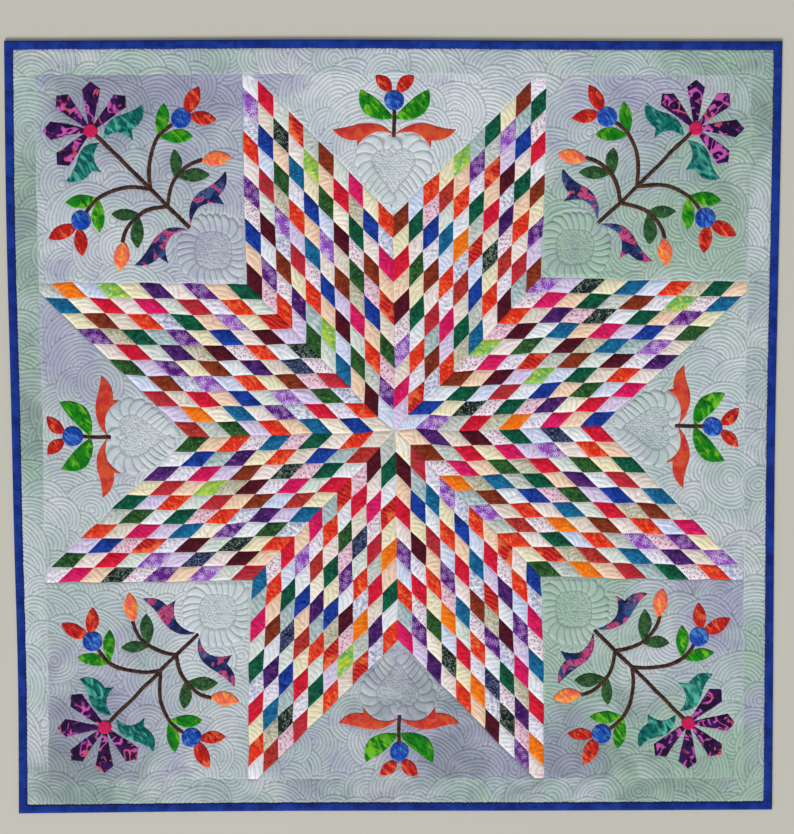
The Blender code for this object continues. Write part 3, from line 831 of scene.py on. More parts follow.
# Where the ground's dye took most strongly, as soft patches: how far each reaches, and its share
# of violet, of green and of dark.
DYE_COLUMNS = ("x", "y", "reach", "violet", "green", "dark")
PANEL_DYES = (
    (-500, 570, 90, 0.6, 0.0, 0.5),
    (-300, 560, 80, 0.7, 0.0, 0.4),
    (-290, 310, 75, 0.5, 0.0, -0.35),
    (-540, 310, 80, 0.25, 0.0, -0.6),
    (-440, -15, 90, 0.1, 0.0, -0.5),
    (0, 540, 170, 0.1, 0.0, -0.8),
    (400, 570, 110, 0.5, 0.0, 0.1),
    (290, 320, 80, 0.0, 0.85, 0.1),
    (500, 320, 90, 0.0, 0.7, 0.15),
    (560, 500, 90, 0.0, 0.6, 0.25),
    (560, 40, 100, 0.0, 0.1, -0.4),
    (545, -295, 60, 0.7, 0.0, 0.2),
    (320, -285, 80, 0.0, 0.8, -0.35),
    (280, -470, 60, 0.0, 0.7, 0.0),
    (285, -560, 55, 0.8, 0.0, 0.45),
    (400, -545, 70, 0.0, 0.7, 0.3),
    (550, -565, 55, 0.0, 1.0, 0.1),
    (120, -560, 75, 0.7, 0.0, 0.45),
    (-10, -460, 75, 0.3, 0.1, 0.35),
    (-150, -570, 80, 0.3, 0.0, -0.1),
    (-500, -500, 110, 0.6, 0.0, 0.2),
    (-590, -590, 90, 0.1, 0.2, 0.6),
    (-300, -320, 100, 0.0, 0.15, -0.65),
    (-560, 130, 80, 0.5, 0.0, 0.1),
    (-560, -130, 90, 0.0, 0.2, -0.2),
)
BORDER_DYES = (
    (-350, 630, 160, 0.2, 0.3, 0.1),
    (0, 630, 140, 0.2, 0.1, -0.5),
    (250, 630, 120, 0.1, 0.2, 0.0),
    (600, 560, 110, 0.0, 0.9, 0.45),
    (630, 200, 110, 0.3, 0.3, 0.0),
    (630, -100, 110, 0.2, 0.3, -0.1),
    (620, -370, 60, 0.0, 0.7, 0.0),
    (625, -480, 60, 0.5, 0.0, 0.1),
    (490, -625, 90, 0.0, 1.0, 0.4),
    (600, -620, 70, 0.0, 0.6, 0.0),
    (150, -630, 120, 0.2, 0.3, 0.3),
    (-150, -630, 120, 0.2, 0.0, 0.3),
    (-540, -640, 110, 0.0, 0.5, 0.6),
    (-630, -320, 150, 0.0, 0.1, -0.5),
    (-630, 0, 80, 0.0, 0.6, 0.6),
    (-630, 350, 150, 0.0, 0.7, 0.4),
)


def dye(places, rows):
    """Shares of violet, green and dark at places of the ground."""
    shares = np.zeros((3, len(places)))
    for row in rows:
        cloud = row_of(DYE_COLUMNS, row)
        away = places - (cloud["x"], cloud["y"])
        fade = np.exp(-(away**2).sum(1) / (2 * cloud["reach"] ** 2))
        shares += np.outer((cloud["violet"], cloud["green"], cloud["dark"]), fade)
    return dict(zip(("violet", "green", "dark"), shares))


def ground(node, slot, loop, material, fans, dyes, core=None, feathers=None, covers=()):
    """A piece of the dyed ground with its quilting raised in it: fans, and feathers round a core.
    The quilting fades at the covers, the outlines of what is sewn on."""
    corners = anticlockwise(loop)
    rim = stepped(corners, EDGE_STEP)
    row = inwards(rim, SEAM_ROW)
    row = row[distance(row, corners) > 0.9 * SEAM_ROW]
    rows = fans[boxed(fans[:, :2], corners)]
    if core is not None:
        plumes, outline = feathers
        clear = distance(rows[:, :2], outline, NEAR)
        far = distance(rows[:, :2], core, PLUME_WIDTH) > PLUME_SHARES[0] * PLUME_WIDTH
        rows[:, 2] *= np.clip((clear - PLUME_GAP) / PLUME_FADE, 0, 1)
        # Fans lose their painted shade next to a plume outline.
        rows[:, 3] *= clear > PLUME_FADE
        rows = rows[far & (clear > SEAM_ROW) & ~inside(rows[:, :2], outline)]
        clear = distance(plumes[:, :2], corners, NEAR)
        plumes[:, 2] *= np.clip((clear - PLUME_CLEAR) / PLUME_FADE, 0, 1)
        rows = np.concatenate((rows, plumes[clear > PLUME_CLEAR]))
    rows = rows[inside(rows[:, :2], corners)]
    rows = rows[distance(rows[:, :2], corners) > SEAM_CLEAR]
    rows = np.concatenate((rows, point_rows(row, *fan_lift(row, FAN_PITCH))))
    for cover in covers:
        clear = distance(rows[:, :2], cover, NEAR)
        within = inside(rows[:, :2], cover)
        rows[:, 2] *= np.where(within, 0, np.clip((clear - PATCH_GAP) / PATCH_FADE, 0, 1))
        rows = rows[~(within & (clear > PATCH_COVER))]
    out, faces = triangles(point_rows(rim, *fan_lift(rim, FAN_PITCH)), [], rows)
    places = out[:, :2]
    edge = hard_distance(places)
    points = laid(places, heights(out, edge, 0.0, RIDGE_RISE, soft_distance(places)))
    return dressed(
        node, slot, points, faces, [material], edge=edge, groove=out[:, 3], **dye(places, dyes)
    )


def clipped(loop, limit):
    """A convex loop cut off at |x| = limit and |y| = limit."""
    for axis, sign in ((0, 1), (0, -1), (1, 1), (1, -1)):
        kept = []
        for a, b in zip(loop, loop[1:] + loop[:1]):
            depth_a = limit - sign * a[axis]
            depth_b = limit - sign * b[axis]
            if depth_a >= 0:
                kept.append(a)
            if (depth_a > 0) != (depth_b > 0):
                share = depth_a / (depth_a - depth_b)
                kept.append(tuple(a[k] + share * (b[k] - a[k]) for k in (0, 1)))
        loop = kept
    return loop


STAR_OUTLINE = star_outline()


def star_arm(number, fans, cloths):
    """One arm of the star: ten rows of ten diamonds, light and dark in turn."""
    step_a = np.array(polar(DIAMOND_SIDE, number * DIAMOND_ANGLE))
    step_b = np.array(polar(DIAMOND_SIDE, (number + 1) * DIAMOND_ANGLE))
    lattice = np.linalg.inv(np.array((step_a, step_b)))
    last = DIAMOND_ROWS
    corners = [(0, 0), (last, 0), (last, last), (0, last)]
    corners = [tuple(step_a * a + step_b * b) for a, b in corners]
    corners = anticlockwise(clipped(corners, BORDER_SEAM))
    # The star's rim and the seams between its diamonds are marked for painted shade, less than a
    # stitched groove.
    rim = point_rows(stepped(corners, DIAMOND_SIDE / 12), 0, 0.6)
    marks = np.arange(DIAMOND_ROWS * SEAM_MARKS + 1)[:, None] / SEAM_MARKS
    between = (np.arange(DIAMOND_ROWS * SEAM_MARKS)[:, None] + 0.5) / SEAM_MARKS
    seams, beside = [], []
    for k in range(DIAMOND_ROWS + 1):
        for first, second in ((step_a, step_b), (step_b, step_a)):
            line = first * k + second * marks
            kept = inside(line, corners) | (distance(line, corners) < 1e-3)
            if 0 < k < DIAMOND_ROWS and kept.sum() > 1:
                seams.append(point_rows(line[kept], 0, 0.45))
            for shift in (-SEAM_ROW, SEAM_ROW):
                beside.append(first * (k + shift / STRIP_WIDTH) + second * between)
    beside = np.concatenate(beside)

    def seam_distance(places):
        at = places @ lattice
        return np.abs(at - np.round(at)).min(1) * STRIP_WIDTH

    rows = fans[boxed(fans[:, :2], corners)]
    rows = rows[seam_distance(rows[:, :2]) > SEAM_CLEAR]
    beside = beside[seam_distance(beside) > 0.9 * SEAM_ROW]
    rows = np.concatenate((rows, point_rows(beside, 0, 0)))
    rows = rows[inside(rows[:, :2], corners) & (distance(rows[:, :2], corners) > 0.9 * SEAM_ROW)]
    out, faces = triangles(rim, seams, rows)
    places = out[:, :2]
    edge = np.minimum(seam_distance(places), distance(places, corners))
    height = heights(out, edge, DIAMOND_RISE, DIAMOND_RIDGE)
    crumple = CRUMPLE * sways(places, reach=15, seed=21)
    height += crumple * np.clip(edge / CRUMPLE_FADE, 0, 1)
    at = np.floor(out[faces, :2].mean(1) @ lattice).astype(int).clip(0, DIAMOND_ROWS - 1)
    numbers = cloth_chart(number)[at[:, 0], at[:, 1]]
    return dressed(
        f"star_arm_{number + 1}", "star_patchwork", laid(places, height), faces, cloths, numbers,
        edge=edge, groove=out[:, 3],
    )


def cloth_chart(number):
    """Which cloth each diamond of an arm is cut from, drawn by chance from the scraps, and none
    twice side by side. The chart has a margin while it is filled."""
    chance = random.Random(100 + number)
    margin = 2
    chart = np.full((DIAMOND_ROWS + 2 * margin, DIAMOND_ROWS + 2 * margin), -1)
    filled = range(margin, DIAMOND_ROWS + margin)
    for i in filled:
        for j in filled:
            near = {chart[i - 1, j - 1], chart[i - 2, j], chart[i, j - 2], chart[i - 1, j + 1], -1}
            dark = (i + j) % 2
            shares = [row[-1] for row in (DARK_CLOTHS if dark else LIGHT_CLOTHS)]
            while chart[i, j] in near:
                pick = chance.choices(range(len(shares)), shares)[0]
                chart[i, j] = pick + dark * len(LIGHT_CLOTHS)
    return chart[margin:-margin, margin:-margin]


def patch(loop, edge, crown):
    """A sewn-on patch: its turned edge rolls down to the ground and its middle is crowned."""
    rim = anticlockwise(loop)
    low, high = rim.min(0), rim.max(0)
    rows = []
    for amount in PATCH_ROWS:
        row = inwards(rim, amount)
        rows.append(row[distance(row, rim) > 0.8 * amount])
    rise = PATCH_STEP * math.sqrt(3) / 2
    columns = np.arange(math.ceil((high[0] - low[0]) / PATCH_STEP) + 1)
    for row in range(math.ceil((high[1] - low[1]) / rise) + 1):
        x = low[0] + (columns + 0.5 * (row % 2)) * PATCH_STEP
        line = np.column_stack((x, np.full(len(x), low[1] + row * rise)))
        rows.append(line[distance(line, rim) > PATCH_CLEAR])
    rows = np.concatenate(rows)
    rows = rows[inside(rows, rim)]
    out, faces = triangles(point_rows(rim, 0, 1), [], point_rows(rows, 0, 0))
    depth = distance(out[:, :2], rim)
    height = FOOT_Z + edge * (1 - np.exp(-depth / PATCH_ROLL))
    height = height + crown * (1 - np.exp(-depth / PATCH_CROWN))
    return np.column_stack((out[:, :2], height)), faces, depth


def stem(route, height):
    """A narrow folded strip along a smooth line, rounded across."""
    line, side, _ = stem_sides(route)
    across, raised = np.array(STEM_SECTION).T
    points = line[:, None, :] + side[:, None, :] * across[None, :, None] * STEM_WIDTH / 2
    tall = np.tile(raised * height, (len(line), 1))
    tall[0] = 0
    depth = np.tile((1 - np.abs(across)) * STEM_WIDTH / 2, len(line))
    points = np.column_stack((points.reshape(-1, 2), FOOT_Z + tall.ravel()))
    return points, strip_faces(len(line), len(across)), depth


def sewn_on(node, slot, shapes, way, cloths):
    """The pieces of one node as one mesh, laid on the quilt."""
    names = list(dict.fromkeys(part["cloth"] for part in shapes))
    parts = []
    start = 0
    for part in shapes:
        if part["form"] == "stem":
            points, faces, depth = stem(part["line"], part["crown"])
        else:
            points, faces, depth = patch(part["line"], part["edge"], part["crown"])
        numbers = np.full(len(faces), names.index(part["cloth"]))
        places = turned(points[:, :2], *way)
        parts.append((laid(places, points[:, 2]), faces + start, numbers, depth))
        start += len(points)
    points, faces, numbers, depths = map(np.concatenate, zip(*parts))
    return dressed(
        node, slot, points, faces, [cloths[name] for name in names], numbers,
        edge=depths, groove=np.zeros(start),
    )


def patch_loops(shapes, way):
    """Outlines of a spray's pieces on the plan, for the ground to lie low beneath them."""
    loops = []
    for part in shapes:
        line = part["line"]
        loop = stem_sides(line, 5.0)[2] if part["form"] == "stem" else line[::2]
        loops.append(turned(loop, *way))
    return loops


# The binding's section: how far in from the quilt's edge, and how high.
BINDING_SECTION = (
    (15.5, 0.1),
    (8.0, 0.02),
    (1.8, 0.0),
    (0.5, 0.35),
    (0.0, 1.5),
    (0.05, 3.0),
    (0.7, 4.5),
    (2.2, 5.35),
    (4.5, 5.6),
    (7.5, 5.5),
    (10.5, 5.3),
    (13.0, 5.05),
    (14.6, 4.7),
    (15.4, 4.1),
    (15.5, 3.3),
)


def binding(quarter, material):
    """One run of the folded binding, mitred at both ends, with its inner edge stitched down."""
    half_run, half_out = halves(quarter)
    section = np.array(BINDING_SECTION)
    stations = np.linspace(-1, 1, round(2 * half_run / BINDING_STEP) + 1)
    places = stations * half_run
    line = np.column_stack((places, np.zeros(len(places))))
    fade = np.clip((half_run - np.abs(places)) / MITRE_REACH, 0, 1)
    wave = sways(line, reach=46, seed=20 + quarter) * fade
    stitch = np.abs(np.sin(math.pi * places / STITCH_SPACING + 1.5 * wave)) * fade
    points = []
    for k, (amount, z) in enumerate(section):
        strayed = 0.55 * wave - STITCH_PULL * stitch * (k > 9)
        moved = amount + strayed * (amount / BINDING_WIDTH) ** 2
        run = stations * (half_run - amount)
        loose = z > 2 and k < len(section) - 3
        ruffle = sways(line, reach=12, seed=40 + k)
        high = z + (0.16 * wave + 0.12 * fade * ruffle) * loose
        flat = turned(np.column_stack((half_out - moved, run)), quarter * math.pi / 2)
        points.append(laid(flat, high))
    points = np.stack(points, 1).reshape(-1, 3)
    outer = np.tile(section[:, 0], len(stations))
    return dressed(
        f"binding_{SIDES[quarter]}", "binding_cloth",
        points, strip_faces(len(stations), len(section)), [material],
        edge=np.minimum(BINDING_WIDTH - outer, outer + 0.8), groove=np.zeros(len(outer)),
    )


def backing(material):
    """The plain cloth under the quilt, a little uneven where the quilting draws it in."""
    xs, ys = (np.linspace(BACKING_INSET - half, half - BACKING_INSET, BACKING_STATIONS + 1)
              for half in (HALF_WIDTH, HALF_HEIGHT))
    grid = np.stack(np.meshgrid(xs, ys), -1).reshape(-1, 2)
    shares = np.arange(BACKING_STATIONS)
    across = BACKING_STATIONS + 1
    corner = (shares[:, None] * across + shares[None, :]).ravel()
    faces = np.stack((corner, corner + across, corner + across + 1, corner + 1), 1)
    points = laid(grid, BACKING_Z + 0.2 * sways(grid, reach=40, seed=51))
    piece = made(
        "quilt_backing", points, faces, [material],
        edge=np.full(len(grid), FAR), groove=np.zeros(len(grid)),
    )
    return piece


def linear(colour):
    """A colour given from 0 to 255 as it looks, as shader values."""
    shares = [value / 255 for value in colour]
    return tuple(v / 12.92 if v <= 0.04045 else ((v + 0.055) / 1.055) ** 2.4 for v in shares)


# How cotton takes the light, the strength and depth of its relief, how far apart its threads are,
# and the share by which they differ.
COTTON = (
    ("Roughness", 0.86),
    ("Sheen Weight", 0.06),
    ("Sheen Roughness", 0.5),
    ("Specular IOR Level", 0.12),
)
WEAVE_RELIEF = 0.45
WEAVE_DEPTH = 0.35
THREAD_PITCH = 0.5
SLUB = 0.05


class Cloth:
    """A woven cotton, whose colour is painted with nodes laid in the quilt's own space."""

    def __init__(self, name):
        self.material = bpy.data.materials.new(name)
        self.material.use_nodes = True
        self.tree = self.material.node_tree
        self.shader = self.tree.nodes["Principled BSDF"]
        for key, value in COTTON:
            self.shader.inputs[key].default_value = value
        self.place = self.add("ShaderNodeTexCoord").outputs["Object"]

    def add(self, kind, inputs=None, **settings):
        node = self.tree.nodes.new(kind)
        for key, value in settings.items():
            setattr(node, key, value)
        for key, value in (inputs or {}).items():
            socket = node.inputs[key]
            if isinstance(value, bpy.types.NodeSocket):
                self.tree.links.new(value, socket)
            else:
                socket.default_value = value
        return node

    def moved(self, shift=(0, 0, 0), turn=0, stretch=(1, 1, 1)):
        return self.add(
            "ShaderNodeMapping",
            {"Vector": self.place, "Location": shift, "Rotation": (0, 0, math.radians(turn)),
             "Scale": stretch},
            vector_type="TEXTURE",
        ).outputs[0]

    def noise(self, size, detail=2.0, rough=0.55, bend=0.0, at=None):
        """Soft blots of about a size in millimetres."""
        return self.add(
            "ShaderNodeTexNoise",
            {"Vector": at or self.place, "Scale": 1000 / size, "Detail": detail,
             "Roughness": rough, "Distortion": bend},
        ).outputs["Fac"]

    def cells(self, size, value="Distance", even=1.0):
        """Places scattered about a size in millimetres apart."""
        return self.add(
            "ShaderNodeTexVoronoi",
            {"Vector": self.place, "Scale": 1000 / size, "Randomness": even},
            feature="F1", voronoi_dimensions="2D",
        ).outputs[value]

    def bands(self, size, bend=0.0, bend_size=12.0, turn=0):
        """Bands whose light and dark together are about a size in millimetres wide."""
        at = self.moved(turn=turn) if turn else self.place
        scale = 1000 / size * math.pi / 10
        return self.add(
            "ShaderNodeTexWave",
            {"Vector": at, "Scale": scale, "Distortion": bend, "Detail": 2.0,
             "Detail Scale": size / bend_size * 3.2, "Detail Roughness": 0.5},
        ).outputs["Fac"]

    def math(self, operation, a, b=0.0):
        return self.add("ShaderNodeMath", {0: a, 1: b}, operation=operation).outputs[0]

    def away(self, value, middle=0.5):
        """How far a value is from the middle: it is near nought along thin lines."""
        return self.math("ABSOLUTE", self.math("SUBTRACT", value, middle))

    def ease(self, value, low, high, start=0.0, end=1.0):
        """A soft step from start to end while the value goes from low to high."""
        node = self.add(
            "ShaderNodeMapRange",
            {"Value": value, "From Min": low, "From Max": high, "To Min": start, "To Max": end},
            interpolation_type="SMOOTHSTEP",
        )
        return node.outputs["Result"]

    def mix(self, share, a, b, blend="MIX"):
        values = {0: share}
        for socket, colour in ((6, a), (7, b)):
            if not isinstance(colour, bpy.types.NodeSocket):
                colour = (*linear(colour), 1)
            values[socket] = colour
        node = self.add("ShaderNodeMix", data_type="RGBA", blend_type=blend)
        for socket, value in values.items():
            if isinstance(value, bpy.types.NodeSocket):
                self.tree.links.new(value, node.inputs[socket])
            else:
                node.inputs[socket].default_value = value
        return node.outputs[2]

    def over(self, base, colour, value, low, high, start=0.0, end=1.0):
        """A colour laid over a base where a value goes from low to high."""
        return self.mix(self.ease(value, low, high, start, end), base, colour)

    def field(self, name):
        return self.add("ShaderNodeAttribute", attribute_name=name).outputs["Fac"]

    # Arguments: depth of the painted shade in stitched grooves and along seams, and its reach from
    # a seam.
    def finished(self, colour, groove=0.3, seam=0.35, seam_reach=0.8):
        """Painted shade in stitched lines and seams, and the cloth's threads, slubs and fuzz."""
        # Painted shade: dark in stitched grooves, near along seams and edges; the fleck is random
        # slubs.
        dark = self.ease(self.field("groove"), 0.25, 1.0, 0.0, groove)
        near = self.ease(self.field("edge"), 0.0, seam_reach, seam, 0.0)
        fleck = self.ease(self.noise(0.9, 1.0, 0.6), 0.25, 0.75, SLUB, -SLUB)
        shade = self.math("ADD", self.math("ADD", dark, near), fleck)
        light = self.math("SUBTRACT", 1.0, shade)
        tone = self.add("ShaderNodeCombineColor", {0: light, 1: light, 2: light}).outputs[0]
        shaded = self.mix(1.0, colour, tone, "MULTIPLY")
        self.tree.links.new(shaded, self.shader.inputs["Base Color"])
        threads = self.math("ADD", self.bands(THREAD_PITCH), self.bands(THREAD_PITCH, turn=90))
        wrinkle = self.noise(5.0, 3.0, 0.6)
        relief = self.math("ADD", self.math("MULTIPLY", threads, 0.12), wrinkle)
        bump = self.add(
            "ShaderNodeBump",
            {"Height": relief, "Strength": WEAVE_RELIEF, "Distance": WEAVE_DEPTH * MM},
        )
        self.tree.links.new(bump.outputs[0], self.shader.inputs["Normal"])
        return self.material


def blots(cloth, a, b, c, size):
    """Batik: two colours run into each other, with flecks of a third."""
    base = cloth.over(a, b, cloth.noise(size, 3, 0.6, 0.6), 0.38, 0.62)
    return cloth.over(base, c, cloth.noise(size * 0.45, 2, 0.6), 0.58, 0.72)


def plain(cloth, a, b, c, size):
    """A quiet tone on tone."""
    base = cloth.over(a, b, cloth.noise(size, 3, 0.6), 0.35, 0.65)
    return cloth.over(base, c, cloth.noise(size * 0.3, 2, 0.6), 0.6, 0.7, 0, 0.6)


def sprigs(cloth, a, b, c, size):
    """Small scattered flowers and thin vines on a light cloth."""
    vine = cloth.away(cloth.noise(size * 1.3, 2, 0.5, 1.0))
    base = cloth.over(a, b, vine, 0.0, 0.022, 0.75, 0.0)
    far = cloth.cells(size)
    flower = cloth.math("ADD", far, cloth.math("MULTIPLY", cloth.noise(size * 0.18), 0.28))
    base = cloth.over(base, c, flower, 0.33, 0.40, 0.9, 0.0)
    return cloth.over(base, b, far, 0.07, 0.12, 1.0, 0.0)


def ringed(cloth, a, b, c, size):
    """Small rings at scattered middles."""
    ring = cloth.away(cloth.cells(size, even=0.9), 0.24)
    base = cloth.over(a, c, cloth.noise(size * 2), 0.4, 0.6)
    return cloth.over(base, b, ring, 0.03, 0.09, 0.9, 0.0)


def wiry(cloth, a, b, c, size):
    """Thin wandering stalks and leaf veins."""
    line = cloth.away(cloth.noise(size, 2, 0.55, 1.6))
    base = cloth.over(a, c, cloth.noise(size * 1.6), 0.4, 0.6)
    return cloth.over(base, b, line, 0.008, 0.035, 0.85, 0.0)


def swirls(cloth, a, b, c, size):
    """Curling bands."""
    base = cloth.over(a, b, cloth.bands(size, 7.0, size * 2.2, 35), 0.3, 0.7)
    return cloth.over(base, c, cloth.noise(size * 1.5), 0.55, 0.7, 0, 0.8)


def bursts(cloth, a, b, c, size):
    """Spiky flowers: thin rays round scattered middles, over a mottled cloth."""
    base = cloth.over(a, b, cloth.noise(size * 0.9, 2), 0.4, 0.6)
    middle = cloth.cells(size * 1.6, value="Position")
    away = cloth.add("ShaderNodeVectorMath", {0: cloth.place, 1: middle}, operation="SUBTRACT")
    parts = cloth.add("ShaderNodeSeparateXYZ", {0: away.outputs[0]}).outputs
    angle = cloth.math("MULTIPLY", cloth.math("ARCTAN2", parts["Y"], parts["X"]), 9.0)
    angle = cloth.math("ADD", angle, cloth.math("MULTIPLY", cloth.noise(size * 0.5), 6.0))
    ray = cloth.math("MULTIPLY", cloth.math("SINE", angle), 0.5)
    fade = cloth.math("MULTIPLY", cloth.cells(size * 1.6), -1.1)
    return cloth.over(base, c, cloth.math("ADD", ray, fade), -0.25, 0.1, 0, 0.9)


def streaked(cloth, a, b, c, size):
    """Batik whose colours run out in streaks one way."""
    along = cloth.moved(turn=35, stretch=(1.0, 2.4, 1.0))
    base = cloth.over(a, b, cloth.noise(size * 0.5, 3, 0.55, 1.2, along), 0.36, 0.64)
    return cloth.over(base, c, cloth.noise(size * 0.9, 2, 0.55, 1.0, along), 0.48, 0.70, 0, 0.9)


def checks(cloth, a, b, c, size):
    """A fine woven check."""
    one, two = (cloth.ease(cloth.bands(size * 0.2, turn=turn), 0.4, 0.6) for turn in (0, 90))
    both = cloth.math("MULTIPLY", cloth.math("ADD", one, two), 0.5)
    return cloth.over(cloth.mix(both, a, b), c, cloth.noise(size * 2), 0.5, 0.75, 0, 0.7)


def flames(cloth, a, b, c, size):
    """Wavy stripes that taper like flames."""
    base = cloth.over(a, b, cloth.bands(size, 5.0, size * 3, 60), 0.25, 0.75)
    return cloth.over(base, c, cloth.noise(size * 3, 1), 0.52, 0.66, 0, 0.85)


# The scraps that the diamonds are cut from: how each is painted, its three colours as they look,
# the size of its pattern in millimetres, and how often it is drawn.
CLOTH_COLUMNS = ("name", "paint", "a", "b", "c", "size", "share")
LIGHT_CLOTHS = (
    ("white vine", sprigs, (240, 237, 247), (170, 160, 206), (214, 200, 230), 8, 7),
    ("pale sky", plain, (204, 217, 246), (224, 232, 250), (190, 204, 236), 16, 6),
    ("peach", plain, (242, 206, 176), (248, 220, 194), (234, 192, 160), 18, 8),
    ("cream check", checks, (246, 239, 208), (234, 224, 184), (250, 244, 220), 14, 7),
    ("blush", plain, (238, 222, 217), (247, 236, 233), (230, 210, 206), 16, 7),
    ("white posy", sprigs, (241, 234, 240), (112, 100, 150), (226, 130, 170), 6, 6),
    ("rose posy", sprigs, (240, 206, 222), (150, 150, 130), (216, 120, 168), 8, 3),
    ("lavender print", sprigs, (222, 208, 240), (176, 154, 214), (240, 232, 248), 8, 5),
    ("pale mint", plain, (214, 224, 216), (228, 234, 228), (194, 208, 200), 14, 4),
    ("grey swirl", swirls, (184, 202, 204), (160, 184, 188), (208, 220, 222), 9, 4),
    ("honey", blots, (248, 240, 222), (252, 246, 232), (236, 206, 130), 16, 2),
    ("ice", plain, (228, 234, 242), (240, 243, 248), (210, 222, 232), 15, 6),
    ("white ring", ringed, (236, 238, 248), (78, 78, 140), (212, 216, 238), 7, 3),
    ("wild grass", wiry, (206, 200, 176), (110, 112, 84), (216, 212, 192), 9, 3),
    ("grey grass", wiry, (200, 208, 202), (146, 154, 148), (216, 220, 214), 8, 4),
    ("oat", plain, (226, 213, 200), (237, 227, 215), (214, 200, 186), 15, 6),
)
DARK_CLOTHS = (
    ("orange red batik", streaked, (240, 58, 30), (212, 32, 24), (252, 122, 66), 7, 17),
    ("magenta", blots, (226, 28, 106), (206, 14, 84), (238, 56, 126), 14, 8),
    ("crimson", blots, (226, 26, 60), (200, 16, 44), (234, 54, 84), 14, 8),
    ("emerald", blots, (8, 96, 68), (2, 64, 48), (36, 128, 98), 9, 9),
    ("forest", blots, (50, 98, 46), (24, 62, 30), (92, 134, 76), 8, 7),
    ("royal blue", blots, (26, 66, 168), (12, 42, 128), (46, 92, 188), 12, 8),
    ("purple aster", bursts, (104, 38, 142), (78, 22, 112), (206, 170, 226), 8, 7),
    ("plum batik", blots, (86, 38, 116), (48, 18, 84), (140, 74, 160), 14, 6),
    ("maroon", blots, (90, 16, 36), (62, 8, 26), (116, 28, 48), 10, 6),
    ("rust", blots, (140, 56, 28), (112, 36, 20), (162, 76, 42), 10, 5),
    ("lake blue", blots, (22, 112, 160), (10, 84, 132), (60, 146, 184), 10, 5),
    ("orange", blots, (252, 132, 22), (244, 108, 10), (254, 160, 60), 12, 4),
    ("lime", blots, (184, 210, 58), (120, 186, 96), (214, 236, 200), 13, 3),
    ("pine fern", wiry, (22, 42, 42), (142, 162, 138), (14, 28, 34), 13, 4),
    ("brick", blots, (192, 56, 46), (156, 34, 36), (214, 104, 84), 7, 3),
    ("red and moss", wiry, (196, 30, 54), (70, 70, 50), (206, 44, 60), 14, 4),
    ("lilac aster", bursts, (160, 96, 200), (136, 70, 182), (240, 228, 248), 9, 4),
    ("red flame", flames, (222, 50, 34), (168, 24, 28), (246, 112, 66), 7, 4),
    ("navy posy", wiry, (34, 44, 84), (128, 142, 178), (24, 28, 62), 9, 2),
)

# Cloths of the sewn-on sprays and of the back, in the same columns except for the last.
SPRAY_CLOTHS = (
    ("leaf bright", streaked, (24, 142, 20), (6, 96, 18), (118, 200, 38), 14),
    ("leaf dark", blots, (50, 96, 52), (26, 62, 36), (96, 130, 74), 8),
    ("bud orange", streaked, (248, 136, 54), (234, 74, 96), (255, 186, 66), 9),
    ("hub magenta", blots, (214, 28, 96), (190, 20, 76), (228, 60, 110), 9),
    ("berry blue", streaked, (28, 84, 190), (10, 42, 138), (84, 146, 216), 8),
    ("petal red", streaked, (206, 36, 28), (144, 14, 22), (246, 104, 60), 9),
    ("leaf teal", streaked, (10, 122, 110), (0, 62, 72), (92, 192, 170), 13),
    ("tail rust", blots, (214, 84, 44), (196, 48, 44), (216, 78, 100), 15),
)
STEM_CLOTH = ("stem brown", blots, (80, 50, 38), (48, 28, 26), (112, 74, 58), 9)
BACKING_CLOTH = ("backing cotton", plain, (226, 222, 212), (234, 231, 222), (216, 211, 200), 60)

# Clouds of the hand-dyed ground: which share they follow, their size and place, their tint, and how
# strongly they take.
CLOUD_COLUMNS = ("field", "size", "drift", "tint", "most")
CLOUDS = (
    ("green", 100, 3.3, (162, 194, 174), 0.9),
    ("violet", 80, 5.2, (170, 170, 200), 0.95),
    ("dark", 60, 8.3, (124, 138, 144), 0.7),
)


def painted(row, **finish):
    """A cloth from a row of a table of cloths."""
    values = row_of(CLOTH_COLUMNS, row)
    cloth = Cloth(values["name"])
    colour = values["paint"](cloth, values["a"], values["b"], values["c"], values["size"])
    return cloth.finished(colour, **finish)


def dyed_ground(name, base, shift):
    """Hand-dyed cotton: soft violet, green and darker clouds on pale aqua."""
    cloth = Cloth(name)
    pale = cloth.noise(120, 2.0, 0.5, 0.4, cloth.moved((shift, 1.7, 0)))
    colour = cloth.over(base, (206, 214, 218), pale, 0.4, 0.62)
    spared = cloth.math("MULTIPLY", cloth.field("dark"), -1.0)
    colour = cloth.over(colour, (218, 226, 232), spared, 0.05, 0.7, 0, 0.8)
    for row in CLOUDS:
        cloud = row_of(CLOUD_COLUMNS, row)
        where = cloth.moved((cloud["drift"], shift, 0))
        soft = cloth.math("MULTIPLY", cloth.noise(cloud["size"], 4.0, 0.62, 0.7, where), 1.6)
        share = cloth.math("ADD", cloth.field(cloud["field"]), soft)
        colour = cloth.over(colour, cloud["tint"], share, 0.8, 1.6, 0, cloud["most"])
    mottle = cloth.noise(9, 3.0, 0.65, 0.5)
    colour = cloth.over(colour, (148, 158, 172), mottle, 0.5, 0.75, 0, 0.35)
    # The ground takes painted shade in its stitched grooves and along its seams.
    return cloth.finished(colour, groove=0.36, seam=0.25, seam_reach=0.9)


